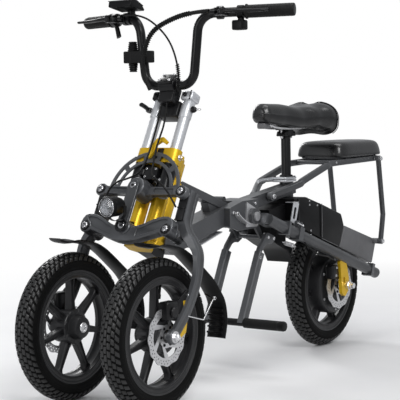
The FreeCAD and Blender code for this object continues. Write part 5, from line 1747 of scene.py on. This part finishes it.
def battery():
    """The case with its bands and screws, pale lines along its edges as painted highlights, and the tail slab
    behind it.
    """
    outline = rounded(
        [(724, 374), (724, 447), (785, 448), (872, 422), (979, 387), (994, 352), (966, 290), (866, 323)],
        [4, 4, 6, 8, 10, 10, 6, 6],
    )
    shell = prism(outline, 122, upright(0), 4.0, 3)
    bands = []
    for y, low, high in ((862, 330, 421), (742, 368, 446)):
        for side in (1, -1):
            bands.append(brick((9, high - low, 3), upright(side * 61.6, y, (low + high) / 2), 1.2))
    piece("battery_shell", "rear", "plastic", shell, *bands, angle=30, replaces="battery_case")
    # Pale lines along a band's edge and the case's lower edge: painted highlights.
    edge_highlights = []
    for side in (1, -1):
        edge_highlights.append(pipe([spot(side * 62.8, 866, 328), spot(side * 62.8, 866, 424)], 0.9, 8))
        edge = [spot(side * 62.0, 866, 324), spot(side * 62.0, 966, 291)]
        edge_highlights.append(pipe(edge, 1.1, 8))
    piece("battery_ridges", "rear", "grey_plastic", *edge_highlights)
    screws = side_bolts(61, ((800, 436), (800, 425), (842, 421), (806, 352), (806, 340)), 2.8, 2)
    screws += [socket_bolt(spot(52, y, z), UP, 3, 2) for y, z in ((800, 444), (868, 424))]
    piece("battery_screws", "rear", "chrome", *screws)
    slab = rounded([(998, 351), (1187, 293), (1160, 224), (969, 289)], [5, 8, 6, 4])
    tail = prism(slab, 121, upright(0), 2.5, 3)
    lugs = [rod(spot(side * 58, *STRUT_FOOT), spot(side * 77, *STRUT_FOOT), 8.5) for side in (1, -1)]
    piece("tail_slab", "rear", "grey_plastic", tail, *lugs, replaces="tail_box")


def bracket_and_spring():
    """The pale battery bracket with its oval slots, and the extension spring of the catch."""
    flat = rounded(rectangle(10, 52), 3)
    slots = [
        rounded([(-4.2, low), (4.2, low), (4.2, low + 34), (-4.2, low + 34)], 4.1, 5) for low in (-40, 4)
    ]
    made = []
    for side in (1, -1):
        tall = (BACK * 0.32 + UP * 0.95).normalized()
        wide = (LEFT * side * 0.25 + (BACK - tall * BACK.dot(tall)) * 0.97).normalized()
        wide = (wide - tall * wide.dot(tall)).normalized()
        place = plane_at(spot(side * 66.5, 706, 388), wide, tall)
        made.append(pierced(flat, slots, 2.6, place, 0.5))
        made.append(brick((34, 16, 2.6), level(side * 52, 724, 437), 0.8))
    piece("battery_bracket", "rear", "silver", *made)
    start, end = spot(62, 668, 330), spot(62, 712, 318)
    axis = (end - start).normalized()
    across_axis = axis.cross(LEFT).normalized()
    turns, steps = 9, 12
    coil = []
    for index in range(turns * steps + 1):
        a = 2 * math.pi * index / steps
        along = start + (end - start) * index / (turns * steps)
        coil.append(along + (LEFT * math.cos(a) + across_axis * math.sin(a)) * 0.0052)
    piece("return_spring", "rear", "steel", pipe(coil, 1.0, 6))
    lugs = [
        rod(start - axis * 0.012, start + axis * 0.001, 1.6, 0.5, 10),
        rod(end - axis * 0.001, end + axis * 0.012, 1.6, 0.5, 10),
    ]
    piece("spring_hooks", "rear", "steel", *lugs)


RAIL_X, FOOT_X, FOOT_BAR = 80, 53.5, (466, 138)


def rails_dress():
    """Clamp tabs and bolts, end plugs and pivot caps on the two rails."""
    tabs, bolts = [], []
    for side in (1, -1):
        out = LEFT * side
        for along in (174, 190):
            place = plane_at(rail_spot(side * RAIL_X, along, 25), out, RAIL_UP)
            tabs.append(prism(rounded(rectangle(8, 10), 4), 4, place, 0.8))
        bolts.append(socket_bolt(rail_spot(side * 86, 194, 27), RAIL_BACK, 3.6, 3))
        bolts.append(rod(rail_spot(side * 86, 168, 27), rail_spot(side * 86, 196, 27), 2.4))
        plug = [(0, 0), (0, 12.5), (3, 12.5), (4, 15.6), (9, 15.6), (11, 13), (12, 0)]
        tabs.append(lathe(plug, rail_spot(side * RAIL_X, 641), RAIL_BACK, 36))
        bolts.append(socket_bolt(rail_spot(side * RAIL_X, 606, 18), RAIL_UP, 4, 3))
        head = [(0, 0), (0, 11.5), (3.6, 11.5), (4.6, 10.4), (4.6, 5), (2.4, 4.4), (2.4, 0)]
        bolts.append(lathe(head, spot(side * 62.6, 530, 413), out, 36))
    piece("rail_tabs", "rear", "gunmetal", *tabs)
    piece("rail_bolts", "rear", "chrome", *bolts)


def rear_brake():
    """The gold hanger over the axle and the caliper that it carries."""
    for side in (1, -1):
        outline = rounded(
            [(928, 262), (964, 250), (977, 205), (982, 172), (955, 148), (938, 160), (934, 205)],
            [8, 10, 10, 9, 9, 9, 10],
        )
        sink = [hole(958, 178, 4.5, 16), rounded([(944, 186), (953, 183), (956, 204), (947, 207)], 3.5, 4)]
        plate = pierced(outline, sink, 10, upright(side * 79), 1.4)
        made = piece(f"hanger_{'l' if side > 0 else 'r'}", "rear", "gold", plate, angle=30)
        if side > 0:
            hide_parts("dropouts")
    body = brick((26, 34, 40), level(66, 912, 224), 6, 3)
    arm_plate = prism(rounded([(900, 206), (936, 200), (940, 236), (908, 246)], 5), 5, upright(74), 1)
    piece("rear_caliper", "rear", "black_metal", body, arm_plate)
    bolts = [socket_bolt(spot(77, y, z), LEFT, 3.6, 3) for y, z in ((914, 214), (918, 236))]
    piece("rear_caliper_bolts", "rear", "chrome", *bolts)
    nuts = []
    for side in (1, -1):
        nuts += hex_nut(spot(side * 92, WHEELBASE, AXLE), LEFT * side, 11, 8)
    piece("rear_axle_nuts", "rear", "chrome", *nuts)


# ---------------------------------------------------------------- footrest


def footrest():
    """Two ribbed arms with their gussets, the cross bar, the peg sleeves and the bolts."""
    gussets, tubes = [], []
    for side in (1, -1):
        place = upright(side * FOOT_X)
        plate = [(576, 353), (584, 364), (596, 363), (628, 350), (622, 340), (604, 332)]
        plate += arc(592, 296, 38, 72, 118, 6)[1:]
        plate += [(540, 296), (534, 300), (552, 330)]
        gussets.append(prism(plate, 12, place, 1.6))
        line = [spot(side * FOOT_X, y, z) for y, z in ((556, 314), (540, 283), (505, 212), (466, 134))]
        smooth = smooth_line(line, 5)

        def section(share):
            right = [
                (8, 11.5), (9.5, 10), (9.5, 4.5), (8.3, 3.8), (8.3, 1.4), (9.5, 0.7), (9.5, -0.7),
                (8.3, -1.4), (8.3, -3.8), (9.5, -4.5), (9.5, -10), (8, -11.5),
            ]
            return right + [(-a, b) for a, b in right[::-1]]

        tubes.append(loft(smooth, section, LEFT))
    bar = rod(spot(-62, *FOOT_BAR), spot(62, *FOOT_BAR), 9.5)
    shaft = rod(spot(-50, 588, 352), spot(50, 588, 352), 5)
    piece("footrest_arms", "footrest", "gunmetal", *gussets, *tubes, shaft, replaces="footrest")
    piece("footrest_bar", "footrest", "black_metal", bar)
    sleeves = []
    for side in (1, -1):
        profile = [(0, 0), (0, 12), (1.5, 13)]
        along = 6
        while along < 104:
            profile += [(along, 13), (along + 1, 12.2), (along + 2.2, 12.2), (along + 3.2, 13)]
            along += 6
        profile += [(114, 13), (120, 13.2), (124.5, 12), (125.5, 9), (125.5, 0)]
        sleeves.append(lathe(profile, spot(side * 62.5, *FOOT_BAR), LEFT * side, 36))
    piece("peg_sleeves", "footrest", "rubber", *sleeves, angle=45, replaces="foot_pegs")
    bolts = side_bolts(60, ((588, 352), (614, 347), (546, 302)), 4.4, 3.2)
    piece("footrest_bolts", "footrest", "chrome", *bolts)


# ---------------------------------------------------------------- frame fittings


def frame_dress():
    """Hinge box bolts, the plate under the beam and the release catch."""
    bolts = []
    for side in (1, -1):
        out = LEFT * side
        for y, z in ((446, 428), (548, 446), (540, 392)):
            bolts.append(socket_bolt(spot(side * 46.2, y, z), out, 4.2, 3))
        bolts.append(socket_bolt(spot(side * 18.2, 585, 448), out, 5, 3))
    piece("frame_bolts", "frame", "chrome", *bolts)
    strip_under = brick((46, 120, 3), plane_at(spot(0, 372, 363), LEFT, (BACK * 0.93 + UP * 0.25)), 1)
    piece("beam_underplate", "frame", "silver", strip_under)
    blade = smooth_line([spot(55, y, z) for y, z in ((452, 424), (466, 411), (492, 398), (515, 393))], 6)

    def section(share):
        wide = 6.5 + 4 * math.sin(math.pi * min(1.0, share))
        return [(wide, 1.3), (-wide, 1.3), (-wide, -1.3), (wide, -1.3)]

    pivot = lathe(
        [(-4, 3.1), (-4, 5.5), (-3.3, 6), (3.3, 6), (4, 5.5), (4, 3.1)], spot(54.8, 452, 424), LEFT, 24,
        closed=True,
    )
    piece(
        "catch_blade", "release_lever", "steel", loft(blade, section, LEFT), pivot,
        replaces="release_lever",
    )


# ---------------------------------------------------------------- everything, in order

camera()
studio_world()
studio_floor()
softbox("key", (3.0, -2.4, 3.2), (0, 0, 0.4), (1.6, 1.6), 95)
softbox("rim", (-3.2, 1.8, 2.4), (0, 0, 0.5), (1.0, 2.2), 60)
softbox("top", (0.4, 0.3, 3.6), (0, 0, 0.4), (1.8, 2.4), 50)
softbox("front", (-1.2, -4.2, 1.2), (0, 0, 0.5), (0.8, 1.8), 26)
dress_cad()
for wheel_side, wheel_name in ((1, "l"), (-1, "r")):
    front_wheel(wheel_side, wheel_name)
rear_wheel()
upper_arm()
lower_arm()
lock_ring()
front_plate()
for carrier_side, carrier_name in ((1, "l"), (-1, "r")):
    leg(carrier_side, carrier_name)
    fender(carrier_side, carrier_name)
    caliper(carrier_side, carrier_name)
headlight()
crown_dress()
column_dress()
grips()
brake_lever(1, "l")
brake_lever(-1, "r")
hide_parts("lever_perches")
display()
throttle()
switch_pod()
stem()
stem_lever()
connector()
saddle()
seat_post()
seat_clamp()
pad()
rack()
struts()
battery()
bracket_and_spring()
rails_dress()
rear_brake()
footrest()
frame_dress()
cables()
